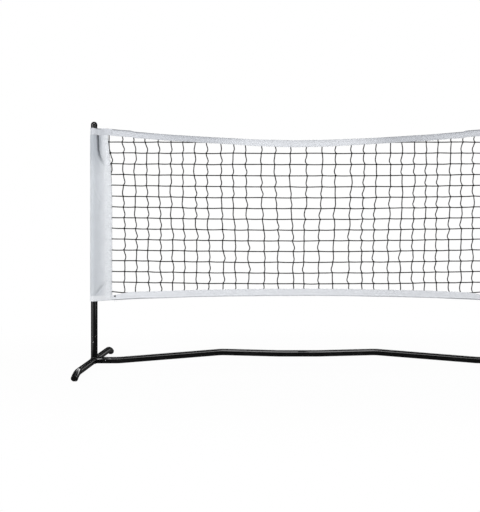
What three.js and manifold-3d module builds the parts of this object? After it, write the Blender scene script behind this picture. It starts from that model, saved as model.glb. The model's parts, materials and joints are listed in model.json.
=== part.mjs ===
// Portable pickleball net: two tube posts on bent tube feet, a two-piece arched base rail, and a
// net with taped edges whose side sleeves slide over the posts. Millimetres, +Z up.
// X runs along the net, -Y is the front, and the origin is on the floor under the net's middle.

import * as THREE from 'three';
import { mergeGeometries, mergeVertices } from 'three/addons/utils/BufferGeometryUtils.js';
import Module from 'manifold-3d';

// ---------- Driving dimensions ----------

const postSpacing = 1567;            // between the two post axes
const postTopHeight = 940;           // top of the domed caps
const tubeDiameter = 25;             // posts, sockets, feet and rail are all cut from one tube
const tubeWall = 1.2;
const spigotClearance = 0.3;         // radial, between a swaged tube end and the tube it slides into
const pieceGap = 0.3;                // between pieces that rest face to face

const footLength = 560;              // front to back
const footBendAngle = 28;            // degrees that each end turns down
const footBendRadius = 110;
const footTail = 4.5;                // straight end after the bend
const plugFlange = 3;                // plastic plug's rim over the tube's end
const plugFlat = 0.9;                // depth of the flat that the plug stands on
const plugInsert = 12;               // plug's length inside the tube
const plugChamfer = 0.4;
const plugClearance = 0.6;

const postSeamHeight = 121;          // where the post enters its socket
const postSpigotLength = 64;         // swaged length of the post inside the socket
const swageCone = 3;                 // length over which a swaged end widens inside
const capCollar = 3;                 // straight part of the domed cap
const capInsert = 16;

const railSocketReach = 66;          // from the post axis to the rail socket's mouth
const railSpigotLength = 47;         // swaged length of the rail inside its socket
const railPeakFromMiddle = 295;      // bend where each rail half is highest
const railPeakRise = 31.5;           // of the rail's axis at that bend, above the foot's axis
const railMiddleRise = 26;           // of the rail's axis at the middle joint
const railMouthToBend = 12;          // from the socket's mouth to the first bend
const railJointLevel = 60;           // level length each side of the middle joint
const railBendReach = 16;            // half the length of each press bend
const railJointLength = 50;          // swaged length in the middle joint

const buttonDiameter = 6;
const buttonHoleClearance = 0.4;
const buttonProud = 3.2;             // beyond the tube at rest
const postButtonHeight = 95.5;
const railButtonFromPost = 46.5;
const springStrip = 0.7;             // thickness of the button's leaf spring
const springWidth = 8;
const springApex = 22;               // from the button's axis to the spring's round end
const springTip = 5;                 // leaf beyond the button's axis
const springApexRadius = 3.5;

const capAboveNet = 25.6;            // from the net's top edge at the posts to the top of the caps
const netSag = 45.7;                 // of the top edge at the middle
const netSagPower = 1.6;             // shape of the sagging top edge
const netDepth = 662.7;              // at the posts, from the top edge to the hem
const hemRise = 19.6;                // of the hem at the middle
const hemPower = 2;
const topTapeWidth = 25.4;           // folded tape, as seen from the front
const bottomTapeWidth = 27.5;
const tapeLayer = 0.9;               // one layer of tape or sleeve cloth
const cordDiameter = 4;
const cordClearance = 0.3;
const tapeTaper = 9;                 // depth over which the fold round the cord narrows to the net
const netThickness = 2;
const netClearance = 0.4;            // each side of the net where it is sewn between two layers
const twineWidth = 2.4;
const netTuck = 8;                   // net sewn into the tapes
const topRowDrop = 7.3;              // first row of the net, below the top edge at the middle
const netRowPitch = 41.5;
const netRows = 14;
const lastRowAboveHem = 21.1;        // last row, drawn up by the bottom tape
const netMiddlePitch = 53.5;         // between the columns of twine near the middle
const netMiddleColumns = 7;          // on each side
const netOuterPitch = 46.7;          // between those from there to the sleeves
const netOuterColumns = 8;
const smallestHole = 6;              // a lower opening would be hidden in the tapes, and is left solid

const sleeveClearance = 0.8;         // radial, between a post and its sleeve
const sleeveWidth = 68;              // from the post axis to the flap's edge
const sleeveWidthAtTop = 51.5;
const sleeveFlareHeight = 266;       // height below the top tape over which the flap widens
const sleeveSeam = 40;               // from the post axis to the seam that closes the flap
const netSideEdge = 44;              // from the post axis to the net's own side edge
const cordEndGap = 4;                // between the post and the end of the top cord

const eyeletFromPost = 80;
const eyeletAboveHem = 15;
const eyeletBore = 3.2;
const eyeletBarrel = 5.2;            // outer diameter
const eyeletFlange = 7.4;
const eyeletLip = 0.6;

// ---------- Sizes that follow ----------

const degrees = Math.PI / 180;
const tubeSides = 16;
const smallSides = 12;
const clothArcSteps = 9;
const postX = postSpacing / 2;
const tubeRadius = tubeDiameter / 2;
const tubeBore = tubeRadius - tubeWall;
const spigotRadius = tubeBore - spigotClearance;
const spigotBore = spigotRadius - tubeWall;
const bendAngle = footBendAngle * degrees;
const footAxisHeight = tubeRadius * Math.cos(bendAngle) + footBendRadius * (1 - Math.cos(bendAngle))
  + (footTail - plugChamfer) * Math.sin(bendAngle) - plugFlat;
const footStraight = footLength / 2 - (tubeRadius - plugChamfer + footBendRadius) * Math.sin(bendAngle)
  - footTail * Math.cos(bendAngle);
const footHalfPath = footStraight + footBendRadius * bendAngle + footTail;
const tapeFoldBore = cordDiameter / 2 + cordClearance;
const tapeFoldRadius = tapeFoldBore + tapeLayer;
const netSlit = netThickness / 2 + netClearance;
const bandStart = sleeveWidth + pieceGap;
const bandHalfLength = postX - bandStart;
const netTopAtPost = postTopHeight - capAboveNet;
const netTopAtMiddle = netTopAtPost - netSag;
const hemAtPost = netTopAtPost - netDepth;
const hemAtMiddle = hemAtPost + hemRise;
const netRowTop = netTopAtMiddle - topRowDrop;
const netBottomRow = hemAtMiddle + lastRowAboveHem;
const sleeveTop = netTopAtPost - topTapeWidth - pieceGap;

// Heights of the net's top edge and of its bottom hem, at a distance x from the middle.
function topEdge(x) {
  const share = Math.min(Math.abs(x) / postX, 1);
  return netTopAtMiddle + (netTopAtPost - netTopAtMiddle) * share ** netSagPower;
}

function hemEdge(x) {
  const share = Math.min(Math.abs(x) / postX, 1);
  return hemAtMiddle + (hemAtPost - hemAtMiddle) * share ** hemPower;
}

// ---------- Materials ----------

function finish(color, roughness, metalness) {
  return new THREE.MeshStandardMaterial({ color, roughness, metalness });
}

const blackCoat = () => finish(0x16161a, 0.3, 0.1);
const blackPlastic = () => finish(0x111113, 0.35, 0);
const springSteel = () => finish(0x9a9ca0, 0.35, 1);
const buttonSteel = () => finish(0xb4b6ba, 0.25, 1);
const whiteCloth = () => finish(0xdfe2e8, 0.85, 0);
const greyTwine = () => finish(0x3a3a3c, 0.9, 0);
const whiteCord = () => finish(0xe8e8e8, 0.8, 0);
const darkBrass = () => finish(0x3c3f44, 0.4, 1);

// ---------- Solids: cutting and moving ----------

const wasm = await Module();
wasm.setup();

function toSolid(geometry) {
  const bare = geometry.clone();
  bare.deleteAttribute('normal');
  bare.deleteAttribute('uv');
  const merged = mergeVertices(bare, 1e-4);
  return new wasm.Manifold(new wasm.Mesh({
    numProp: 3,
    vertProperties: new Float32Array(merged.attributes.position.array),
    triVerts: new Uint32Array(merged.index.array),
  }));
}

function toGeometry(solid) {
  const mesh = solid.getMesh();
  const geometry = new THREE.BufferGeometry();
  geometry.setAttribute('position', new THREE.BufferAttribute(mesh.vertProperties, 3));
  geometry.setIndex(new THREE.BufferAttribute(mesh.triVerts, 1));
  geometry.computeVertexNormals();
  return geometry;
}

function cut(geometry, ...tools) {
  const rest = tools.reduce((solid, tool) => solid.subtract(toSolid(tool)), toSolid(geometry));
  return toGeometry(rest);
}

// Moves every vertex of a geometry to where the function `place` puts it.
function reshaped(geometry, place) {
  const position = geometry.attributes.position;
  const point = new THREE.Vector3();
  for (let i = 0; i < position.count; i += 1) {
    place(point.fromBufferAttribute(position, i));
    position.setXYZ(i, point.x, point.y, point.z);
  }
  geometry.computeVertexNormals();
  return geometry;
}

// The mirror image of a left-hand piece, with its faces turned so that they still point out.
function mirrored(geometry) {
  const copy = geometry.clone();
  if (!copy.index) {
    copy.setIndex([...Array(copy.attributes.position.count).keys()]);
  }
  const corners = copy.index.array;
  for (let i = 0; i < corners.length; i += 3) {
    [corners[i], corners[i + 1]] = [corners[i + 1], corners[i]];
  }
  return reshaped(copy, (point) => point.setX(-point.x));
}

// ---------- Solids: round pieces and tubes ----------

// A round solid about +Y from [radius, distance] points that end on the axis or close on themselves.
function turned(points, sides = tubeSides) {
  return new THREE.LatheGeometry(points.map(([radius, along]) => new THREE.Vector2(radius, along)), sides);
}

// A hollow tube about +Y. Each station is [distance, outer radius, inner radius].
function tube(stations, sides = tubeSides) {
  const outside = stations.map(([along, outer]) => [outer, along]);
  const inside = stations.map(([along, , inner]) => [inner, along]).reverse();
  const loop = [...outside, ...inside, outside[0]];
  const corners = loop.filter(([r, s], i) => i === 0 || r !== loop[i - 1][0] || s !== loop[i - 1][1]);
  return turned(corners, sides);
}

function rod(radius, from, to, sides = tubeSides) {
  return turned([[0, from], [radius, from], [radius, to], [0, to]], sides);
}

// Puts a piece made about +Y onto a centre line: at(s) gives the point, and the directions that the
// piece's own x and z take there.
function alongLine(geometry, at) {
  return reshaped(geometry, (point) => {
    const { centre, side, up } = at(point.y);
    const { x, z } = point;
    point.copy(centre).addScaledVector(side, x).addScaledVector(up, z);
  });
}

function evenSteps(from, to, count) {
  return Array.from({ length: count + 1 }, (_, i) => from + ((to - from) * i) / count);
}

// ---------- Feet ----------

// The left foot's centre line, s millimetres behind (or in front of) the post, measured along it.
function footLine(s) {
  const bend = Math.min(Math.max((Math.abs(s) - footStraight) / footBendRadius, 0), bendAngle);
  const tail = Math.max(Math.abs(s) - footStraight - footBendRadius * bendAngle, 0);
  const out = Math.min(Math.abs(s), footStraight) + footBendRadius * Math.sin(bend) + tail * Math.cos(bend);
  const drop = footBendRadius * (1 - Math.cos(bend)) + tail * Math.sin(bend);
  const way = Math.sign(s);
  return {
    centre: new THREE.Vector3(-postX, way * out, footAxisHeight - drop),
    side: new THREE.Vector3(1, 0, 0),
    up: new THREE.Vector3(0, way * Math.sin(bend), Math.cos(bend)),
  };
}

function footTube() {
  const end = footHalfPath - plugFlange - pieceGap;
  const bendEnd = footHalfPath - footTail;
  const half = [...evenSteps(footStraight, bendEnd, 4), end];
  const stations = [...half.map((s) => -s).reverse(), ...half];
  return alongLine(tube(stations.map((s) => [s, tubeRadius, tubeBore])), footLine);
}

function footPlug(way) {
  const flangeStart = footHalfPath - plugFlange;
  const insertEnd = flangeStart - plugInsert;
  const insertRadius = tubeBore - plugClearance;
  const points = [
    [0, insertEnd],
    [insertRadius, insertEnd],
    [insertRadius, flangeStart],
    [tubeRadius, flangeStart],
    [tubeRadius, footHalfPath - plugChamfer],
    [tubeRadius - plugChamfer, footHalfPath],
    [0, footHalfPath],
  ];
  const plug = turned(points);
  if (way < 0) {
    plug.rotateX(Math.PI);
  }
  const floor = new THREE.BoxGeometry(4 * tubeDiameter, 2 * footLength, tubeDiameter)
    .translate(-postX, 0, -tubeRadius);
  return cut(alongLine(plug, footLine), floor);
}

// Cutting cylinders that leave a gap round the foot tube and round the post socket.
function footSaddle() {
  return rod(tubeRadius + pieceGap, -3 * tubeDiameter, 3 * tubeDiameter)
    .translate(-postX, 0, footAxisHeight);
}

function postClearance() {
  return rod(tubeRadius + pieceGap, 0, 4 * tubeDiameter)
    .rotateX(Math.PI / 2)
    .translate(-postX, 0, footAxisHeight);
}

// ---------- Posts ----------

// A cutter for a snap button's hole through the front wall, about -Y.
function buttonHole(x, z) {
  return rod(buttonDiameter / 2 + buttonHoleClearance, -tubeDiameter, 0, smallSides).translate(x, 0, z);
}

function postSocket() {
  const end = postSeamHeight - pieceGap;
  const socket = tube([[footAxisHeight, tubeRadius, tubeBore], [end, tubeRadius, tubeBore]])
    .rotateX(Math.PI / 2)
    .translate(-postX, 0, 0);
  return cut(socket, footSaddle(), buttonHole(-postX, postButtonHeight));
}

function postTube() {
  const shoulder = postSeamHeight;
  const top = postTopHeight - tubeRadius - capCollar - pieceGap;
  const stations = [
    [shoulder - postSpigotLength, spigotRadius, spigotBore],
    [shoulder, spigotRadius, spigotBore],
    [shoulder, tubeRadius, spigotBore],
    [shoulder + swageCone, tubeRadius, spigotBore],
    [shoulder + 2 * swageCone, tubeRadius, tubeBore],
    [top, tubeRadius, tubeBore],
  ];
  const post = tube(stations).rotateX(Math.PI / 2).translate(-postX, 0, 0);
  return cut(post, buttonHole(-postX, postButtonHeight));
}

function postCap() {
  const domeBase = postTopHeight - tubeRadius;
  const seat = domeBase - capCollar;
  const insertRadius = tubeBore - plugClearance;
  const dome = evenSteps(0, 90, 5).map((angle) => [
    angle === 90 ? 0 : tubeRadius * Math.cos(angle * degrees),
    domeBase + tubeRadius * Math.sin(angle * degrees),
  ]);
  const points = [[0, seat - capInsert], [insertRadius, seat - capInsert], [insertRadius, seat],
    [tubeRadius, seat], ...dome];
  return turned(points).rotateX(Math.PI / 2).translate(-postX, 0, 0);
}

// ---------- Base rail ----------

function railSocket() {
  const socket = tube([[0, tubeRadius, tubeBore], [railSocketReach, tubeRadius, tubeBore]])
    .rotateZ(-Math.PI / 2)
    .translate(-postX, 0, footAxisHeight);
  const hole = buttonHole(railButtonFromPost - postX, footAxisHeight);
  return cut(socket, footSaddle(), postClearance(), hole);
}

// How much a rounded kink adds to a line at a distance d past the kink, for one unit of slope.
function kink(d, reach) {
  if (d <= -reach) {
    return 0;
  }
  return d >= reach ? d : (d + reach) ** 2 / (4 * reach);
}

// The left rail half's centre line at x, in the plane of the posts.
const railMouthX = railSocketReach - postX;
const railFirstBendX = railMouthX + railMouthToBend + railBendReach;
const railSlopeUp = railPeakRise / (-railPeakFromMiddle - railFirstBendX);
const railSlopeDown = (railPeakRise - railMiddleRise) / (railPeakFromMiddle - railJointLevel - railBendReach);
const railKinks = [
  [railFirstBendX, railSlopeUp],
  [-railPeakFromMiddle, -railSlopeUp - railSlopeDown],
  [-railJointLevel - railBendReach, railSlopeDown],
];

function railLine(x) {
  const rise = railKinks.reduce((sum, [at, slope]) => sum + slope * kink(x - at, railBendReach), 0);
  const step = 0.5;
  const ahead = railKinks.reduce((sum, [at, slope]) => sum + slope * kink(x + step - at, railBendReach), 0);
  const tilt = Math.atan2(ahead - rise, step);
  return {
    centre: new THREE.Vector3(x, 0, footAxisHeight + rise),
    side: new THREE.Vector3(0, -1, 0),
    up: new THREE.Vector3(-Math.sin(tilt), 0, Math.cos(tilt)),
  };
}

// One rail half: a swaged end in the socket, then full size to the middle, where the left half ends
// in a swaged end that the right half's open end slides over.
function railTube(middleEnd) {
  const mouth = railMouthX + pieceGap;
  const bends = railKinks.flatMap(([at]) => evenSteps(at - railBendReach, at + railBendReach, 2));
  const stations = [
    [railMouthX - railSpigotLength, spigotRadius, spigotBore],
    [mouth, spigotRadius, spigotBore],
    [mouth, tubeRadius, spigotBore],
    [mouth + swageCone, tubeRadius, spigotBore],
    [mouth + 2 * swageCone, tubeRadius, tubeBore],
    ...bends.map((x) => [x, tubeRadius, tubeBore]),
  ];
  const middle = -pieceGap / 2;
  if (middleEnd === 'swaged') {
    stations.push(
      [middle - 2 * swageCone, tubeRadius, tubeBore],
      [middle - swageCone, tubeRadius, spigotBore],
      [middle, tubeRadius, spigotBore],
      [middle, spigotRadius, spigotBore],
      [middle + railJointLength, spigotRadius, spigotBore],
    );
  } else {
    stations.push([middle, tubeRadius, tubeBore]);
  }
  const rail = alongLine(tube(stations), railLine);
  return cut(rail, buttonHole(railButtonFromPost - postX, footAxisHeight));
}

// ---------- Snap buttons ----------

// The leaf spring's offset from the tube's axis, so that its edges clear the round wall.
const leafEdge = spigotBore * Math.cos(Math.PI / tubeSides) - pieceGap;
const leafOffset = Math.sqrt(leafEdge ** 2 - (springWidth / 2) ** 2) - springStrip / 2;

// A domed button about -Y, with its foot on the spring's front leaf.
function snapButton() {
  const radius = buttonDiameter / 2;
  const foot = leafOffset + springStrip / 2 + pieceGap;
  const tip = tubeRadius + buttonProud;
  const dome = evenSteps(0, 90, 3).map((angle) => [
    angle === 90 ? 0 : radius * Math.cos(angle * degrees),
    tip - radius * (1 - Math.sin(angle * degrees)),
  ]);
  return turned([[0, foot], [radius, foot], ...dome], smallSides).rotateX(Math.PI);
}

// The bent leaf spring that holds the button out, in a tube along +Z with the button at height 0.
function snapSpring() {
  const bendHeight = -springApex + springApexRadius;
  const bendCentre = leafOffset - springApexRadius;
  const arc = evenSteps(0, -180, 6).map((angle) => new THREE.Vector2(
    bendCentre + springApexRadius * Math.cos(angle * degrees),
    bendHeight + springApexRadius * Math.sin(angle * degrees),
  ));
  const middle = [
    new THREE.Vector2(leafOffset, springTip),
    ...arc,
    new THREE.Vector2(-leafOffset, -springTip),
    new THREE.Vector2(-leafOffset, springTip),
  ];
  const strip = ribbon(middle, springStrip);
  const spring = new THREE.ExtrudeGeometry(strip, { depth: springWidth, bevelEnabled: false });
  return acrossX(spring).translate(-springWidth / 2, 0, 0);
}

// The outline of a strip of even thickness along a line of points.
function ribbon(points, thickness) {
  const sides = points.map((point, i) => {
    const before = points[Math.max(i - 1, 0)];
    const after = points[Math.min(i + 1, points.length - 1)];
    const along = after.clone().sub(before).normalize();
    return new THREE.Vector2(-along.y, along.x).multiplyScalar(thickness / 2);
  });
  const left = points.map((point, i) => point.clone().add(sides[i]));
  const right = points.map((point, i) => point.clone().sub(sides[i])).reverse();
  return new THREE.Shape([...left, ...right]);
}

// Turns an extrusion so that its outline lies in the YZ plane and its depth runs along +X.
function acrossX(geometry) {
  const turn = new THREE.Matrix4().makeBasis(
    new THREE.Vector3(0, 1, 0),
    new THREE.Vector3(0, 0, 1),
    new THREE.Vector3(1, 0, 0),
  );
  return geometry.applyMatrix4(turn);
}

const atPost = (geometry) => geometry.translate(-postX, 0, postButtonHeight);
const atRail = (geometry) => geometry
  .rotateY(Math.PI / 2)
  .translate(railButtonFromPost - postX, 0, footAxisHeight);

// ---------- Net: tapes and cords ----------

// A tape folded over its cord: a round fold at height 0 whose two layers hang down and close on the net.
function foldedTape(width) {
  const layer = netSlit + tapeLayer;
  const shape = new THREE.Shape();
  shape.moveTo(layer, -width);
  shape.lineTo(layer, -tapeTaper);
  shape.absarc(0, -tapeFoldRadius, tapeFoldRadius, 0, Math.PI, false);
  shape.lineTo(-layer, -tapeTaper);
  shape.lineTo(-layer, -width);
  shape.lineTo(-netSlit, -width);
  shape.lineTo(-netSlit, -tapeTaper);
  shape.absarc(0, -tapeFoldRadius, tapeFoldBore, Math.PI, 0, true);
  shape.lineTo(netSlit, -tapeTaper);
  shape.lineTo(netSlit, -width);
  return shape;
}

// Extrudes an outline along X between two points, and lifts it to the height of an edge of the net.
function alongEdge(shape, from, to, upsideDown, edge) {
  const options = { depth: to - from, steps: 10, bevelEnabled: false, curveSegments: 5 };
  const band = acrossX(new THREE.ExtrudeGeometry(shape, options)).translate(from, 0, 0);
  if (upsideDown) {
    band.rotateX(Math.PI);
  }
  return reshaped(band, (point) => point.setZ(point.z + edge(point.x)));
}

function topBand() {
  return alongEdge(foldedTape(topTapeWidth), -bandHalfLength, bandHalfLength, false, topEdge);
}

const eyeletX = postX - eyeletFromPost;
const eyeletZ = hemEdge(eyeletX) + eyeletAboveHem;

function bottomBand() {
  const band = alongEdge(foldedTape(bottomTapeWidth), -bandHalfLength, bandHalfLength, true, hemEdge);
  const hole = () => rod(eyeletBarrel / 2 + pieceGap, -tubeRadius, tubeRadius, smallSides);
  return cut(band, hole().translate(-eyeletX, 0, eyeletZ), hole().translate(eyeletX, 0, eyeletZ));
}

function edgeCord(halfLength, upsideDown, edge) {
  const section = new THREE.Shape();
  section.absarc(0, -tapeFoldRadius, cordDiameter / 2, 0, 2 * Math.PI, false);
  return alongEdge(section, -halfLength, halfLength, upsideDown, edge);
}

function eyelet() {
  const face = netSlit + tapeLayer + pieceGap;
  const lip = face + eyeletLip;
  const [bore, barrel, flange] = [eyeletBore / 2, eyeletBarrel / 2, eyeletFlange / 2];
  const points = [[bore, -lip], [flange, -lip], [flange, -face], [barrel, -face], [barrel, face],
    [flange, face], [flange, lip], [bore, lip], [bore, -lip]];
  return turned(points, smallSides).translate(-eyeletX, 0, eyeletZ);
}

// ---------- Net: side sleeves and the tape's loops round the posts ----------

// Cloth wrapped round a post and drawn together into a flat flap, seen from above. The post is at
// the outline's origin, and the two layers lie `slit` each side of the middle from the seam on.
function wrappedCloth(width, slit) {
  const inner = tubeRadius + sleeveClearance;
  const outer = inner + tapeLayer;
  const touch = (radius, y) => Math.atan2(y, sleeveSeam) + Math.acos(radius / Math.hypot(sleeveSeam, y));
  const outside = touch(outer, slit + tapeLayer);
  const inside = touch(inner, slit);
  const shape = new THREE.Shape();
  shape.moveTo(width, slit + tapeLayer);
  shape.lineTo(sleeveSeam, slit + tapeLayer);
  shape.absarc(0, 0, outer, outside, -outside, false);
  shape.lineTo(sleeveSeam, -slit - tapeLayer);
  shape.lineTo(width, -slit - tapeLayer);
  shape.lineTo(width, -slit);
  shape.lineTo(sleeveSeam, -slit);
  shape.absarc(0, 0, inner, -inside, inside, true);
  shape.lineTo(sleeveSeam, slit);
  shape.lineTo(width, slit);
  return shape;
}

// The sleeve's flap is narrower under the top tape and widens below it.
function flapWidth(height) {
  const share = Math.min((sleeveTop - height) / sleeveFlareHeight, 1);
  return sleeveWidthAtTop + (sleeveWidth - sleeveWidthAtTop) * (1 - (1 - share) ** 2);
}

function sleeve() {
  const length = sleeveTop - hemAtPost;
  const options = { depth: length, steps: 6, bevelEnabled: false, curveSegments: clothArcSteps };
  const cloth = new THREE.ExtrudeGeometry(wrappedCloth(sleeveWidth, netSlit), options);
  return reshaped(cloth, (point) => {
    const share = point.z / length;
    const flap = (flapWidth(hemAtPost + point.z) - sleeveSeam) / (sleeveWidth - sleeveSeam);
    const x = point.x > sleeveSeam ? sleeveSeam + (point.x - sleeveSeam) * flap : point.x;
    const fromMiddle = postX - x;
    const top = topEdge(fromMiddle) - netTopAtPost;
    const bottom = hemEdge(fromMiddle) - hemAtPost;
    point.set(x - postX, point.y, hemAtPost + point.z + share * top + (1 - share) * bottom);
  });
}

function tapeLoop() {
  const options = { depth: topTapeWidth, bevelEnabled: false, curveSegments: clothArcSteps };
  const loop = new THREE.ExtrudeGeometry(wrappedCloth(sleeveWidth, tapeFoldBore), options);
  return reshaped(loop, (point) => {
    const height = topEdge(postX - point.x) - topTapeWidth + point.z;
    point.set(point.x - postX, point.y, height);
  });
}

// ---------- Net: the knotted mesh ----------

// A flat plate as thick as the net times `scale`, standing in the net's plane.
function plate(corners, scale = 1) {
  const outline = new THREE.Shape(corners.map(([x, z]) => new THREE.Vector2(x, z)));
  return new THREE.ExtrudeGeometry(outline, { depth: netThickness * scale, bevelEnabled: false })
    .rotateX(Math.PI / 2)
    .translate(0, (netThickness * scale) / 2, 0);
}

// A flat grid of twine whose top and bottom edges follow the tapes that hold them.
function netMesh() {
  const half = twineWidth / 2;
  const side = postX - netSideEdge;
  const innermost = netMiddlePitch / 2;
  const turn = innermost + (netMiddleColumns - 1) * netMiddlePitch;
  const rightHalf = [
    ...evenSteps(innermost, turn, netMiddleColumns - 1),
    ...evenSteps(turn, turn + netOuterColumns * netOuterPitch, netOuterColumns).slice(1),
  ];
  const columns = [...rightHalf.map((x) => -x).reverse(), ...rightHalf];
  const lines = [-side, ...columns, side];
  const rows = [...evenSteps(0, netRows - 1, netRows - 1).map((n) => netRowTop - n * netRowPitch), netBottomRow];
  const levels = [Infinity, ...rows, -Infinity];
  const high = (x) => topEdge(x) - topTapeWidth + netTuck;
  const low = (x) => hemEdge(x) + bottomTapeWidth - netTuck;
  const holes = [];
  for (let column = 0; column + 1 < lines.length; column += 1) {
    const [left, right] = [lines[column] + half, lines[column + 1] - half];
    for (let row = 0; row + 1 < levels.length; row += 1) {
      const top = (x) => Math.min(levels[row] - half, high(x) - twineWidth);
      const bottom = (x) => Math.max(levels[row + 1] + half, low(x) + twineWidth);
      const open = Math.min(top(left) - bottom(left), top(right) - bottom(right));
      if (open >= smallestHole) {
        holes.push(plate([[left, bottom(left)], [right, bottom(right)], [right, top(right)], [left, top(left)]], 2));
      }
    }
  }
  const across = [-side - half, ...columns, side + half];
  const sheet = plate([...across.map((x) => [x, low(x)]), ...across.reverse().map((x) => [x, high(x)])]);
  return cut(sheet, mergeGeometries(holes));
}

// ---------- The assembly ----------

const net = new THREE.Group();

function add(name, geometry, material) {
  const mesh = new THREE.Mesh(geometry, material);
  mesh.name = name;
  net.add(mesh);
}

// Adds a left-hand piece and its mirror image on the right.
function addPair(name, geometry, material) {
  add(`left_${name}`, geometry, material());
  add(`right_${name}`, mirrored(geometry), material());
}

addPair('foot_tube', footTube(), blackCoat);
addPair('foot_front_plug', footPlug(-1), blackPlastic);
addPair('foot_back_plug', footPlug(1), blackPlastic);
addPair('post_socket', postSocket(), blackCoat);
addPair('rail_socket', railSocket(), blackCoat);
addPair('post_tube', postTube(), blackCoat);
addPair('post_cap', postCap(), blackPlastic);
addPair('post_button', atPost(snapButton()), buttonSteel);
addPair('post_spring', atPost(snapSpring()), springSteel);
addPair('rail_button', atRail(snapButton()), buttonSteel);
addPair('rail_spring', atRail(snapSpring()), springSteel);
add('left_rail_tube', railTube('swaged'), blackCoat());
add('right_rail_tube', mirrored(railTube('open')), blackCoat());

add('net_mesh', netMesh(), greyTwine());
add('top_band', topBand(), whiteCloth());
add('bottom_band', bottomBand(), whiteCloth());
add('top_cord', edgeCord(postX - tubeRadius - cordEndGap, false, topEdge), whiteCord());
add('bottom_cord', edgeCord(bandHalfLength - pieceGap, true, hemEdge), whiteCord());
addPair('sleeve', sleeve(), whiteCloth);
addPair('tape_loop', tapeLoop(), whiteCloth);
addPair('eyelet', eyelet(), darkBrass);

export default net;
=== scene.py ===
# %% [markdown]
# # A portable pickleball net
# This lesson dresses the CAD model of a portable net: two tube posts on bent tube feet, an arched
# rail along the floor, and a knotted net with taped edges. The CAD model says where each piece is
# and how big it is. Blender adds round tubes, welds, cloth, stitching, twine and their finishes.
# Everything is in metres: X runs along the net, -Y is the front, and the floor is at Z = 0.

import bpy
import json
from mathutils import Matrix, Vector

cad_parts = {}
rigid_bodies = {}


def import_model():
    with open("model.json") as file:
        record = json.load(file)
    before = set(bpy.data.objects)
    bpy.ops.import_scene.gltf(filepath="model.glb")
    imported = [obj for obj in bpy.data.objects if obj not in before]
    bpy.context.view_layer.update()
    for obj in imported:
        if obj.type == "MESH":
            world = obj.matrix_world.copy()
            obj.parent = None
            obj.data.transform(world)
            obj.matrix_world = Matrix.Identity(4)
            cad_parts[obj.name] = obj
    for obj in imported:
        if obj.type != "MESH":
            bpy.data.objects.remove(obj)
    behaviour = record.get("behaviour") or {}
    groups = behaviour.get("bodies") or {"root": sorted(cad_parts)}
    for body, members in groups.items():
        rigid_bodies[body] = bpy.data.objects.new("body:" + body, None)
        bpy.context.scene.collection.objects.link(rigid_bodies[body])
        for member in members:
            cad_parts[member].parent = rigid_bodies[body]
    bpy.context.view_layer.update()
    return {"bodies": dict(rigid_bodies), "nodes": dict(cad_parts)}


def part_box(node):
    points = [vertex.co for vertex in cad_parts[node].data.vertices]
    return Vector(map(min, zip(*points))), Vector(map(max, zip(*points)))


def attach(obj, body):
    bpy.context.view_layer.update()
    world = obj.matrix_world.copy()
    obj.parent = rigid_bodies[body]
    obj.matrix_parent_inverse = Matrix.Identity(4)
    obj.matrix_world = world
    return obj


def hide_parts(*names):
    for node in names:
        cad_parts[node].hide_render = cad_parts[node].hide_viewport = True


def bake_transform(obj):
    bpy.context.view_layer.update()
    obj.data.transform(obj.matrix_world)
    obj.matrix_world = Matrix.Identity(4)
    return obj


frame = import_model()

# %% Blender's modules and the working units
import json
import math
import random

import bmesh
import bpy
from mathutils import Vector, noise

mm = 0.001
scene = bpy.context.scene
scene.view_settings.view_transform = "Standard"

# %% [markdown]
# ## The camera
# The photograph looks level along the net's depth: upright lines stay parallel, and the lines of
# the feet run to one point. A level camera with a lens shift keeps the posts upright. Tilting the
# camera instead would make them lean. The lens follows from the distance and from how many metres
# one pixel covers at the net.

# %% Camera
PHOTO_HEIGHT = 512                    # pixels, the longer side, which the sensor's width covers
PHOTO_WIDTH = 480
METRES_PER_PIXEL = 3.837 * mm         # at the net's plane
CAMERA_DISTANCE = 3.08
EYE_HEIGHT = 0.597
AIM_COLUMN, AIM_ROW = 298.45, 211     # the pixel that the lens axis passes through

camera = bpy.data.objects.new("camera", bpy.data.cameras.new("camera"))
scene.collection.objects.link(camera)
camera.location = (0, -CAMERA_DISTANCE, EYE_HEIGHT)
camera.rotation_euler = (math.radians(90), 0, 0)
camera.data.sensor_width = 36
camera.data.lens = camera.data.sensor_width * CAMERA_DISTANCE / METRES_PER_PIXEL / PHOTO_HEIGHT
camera.data.shift_x = (PHOTO_WIDTH / 2 - AIM_COLUMN) / PHOTO_HEIGHT
camera.data.shift_y = (AIM_ROW - PHOTO_HEIGHT / 2) / PHOTO_HEIGHT
scene.camera = camera
print(f"lens {camera.data.lens:.1f} mm, shift {camera.data.shift_x:.3f}, {camera.data.shift_y:.3f}")

# %% [markdown]
# ## Node maths as plain maths
# A finish is a network of nodes. Wiring it by hand is slow to read, so one small class wraps an
# output socket and lets `1 - wave * 0.5` add the Math nodes by itself. Every other kind of node
# comes from one method: its settings are made first, then its sockets get values or links.


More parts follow.
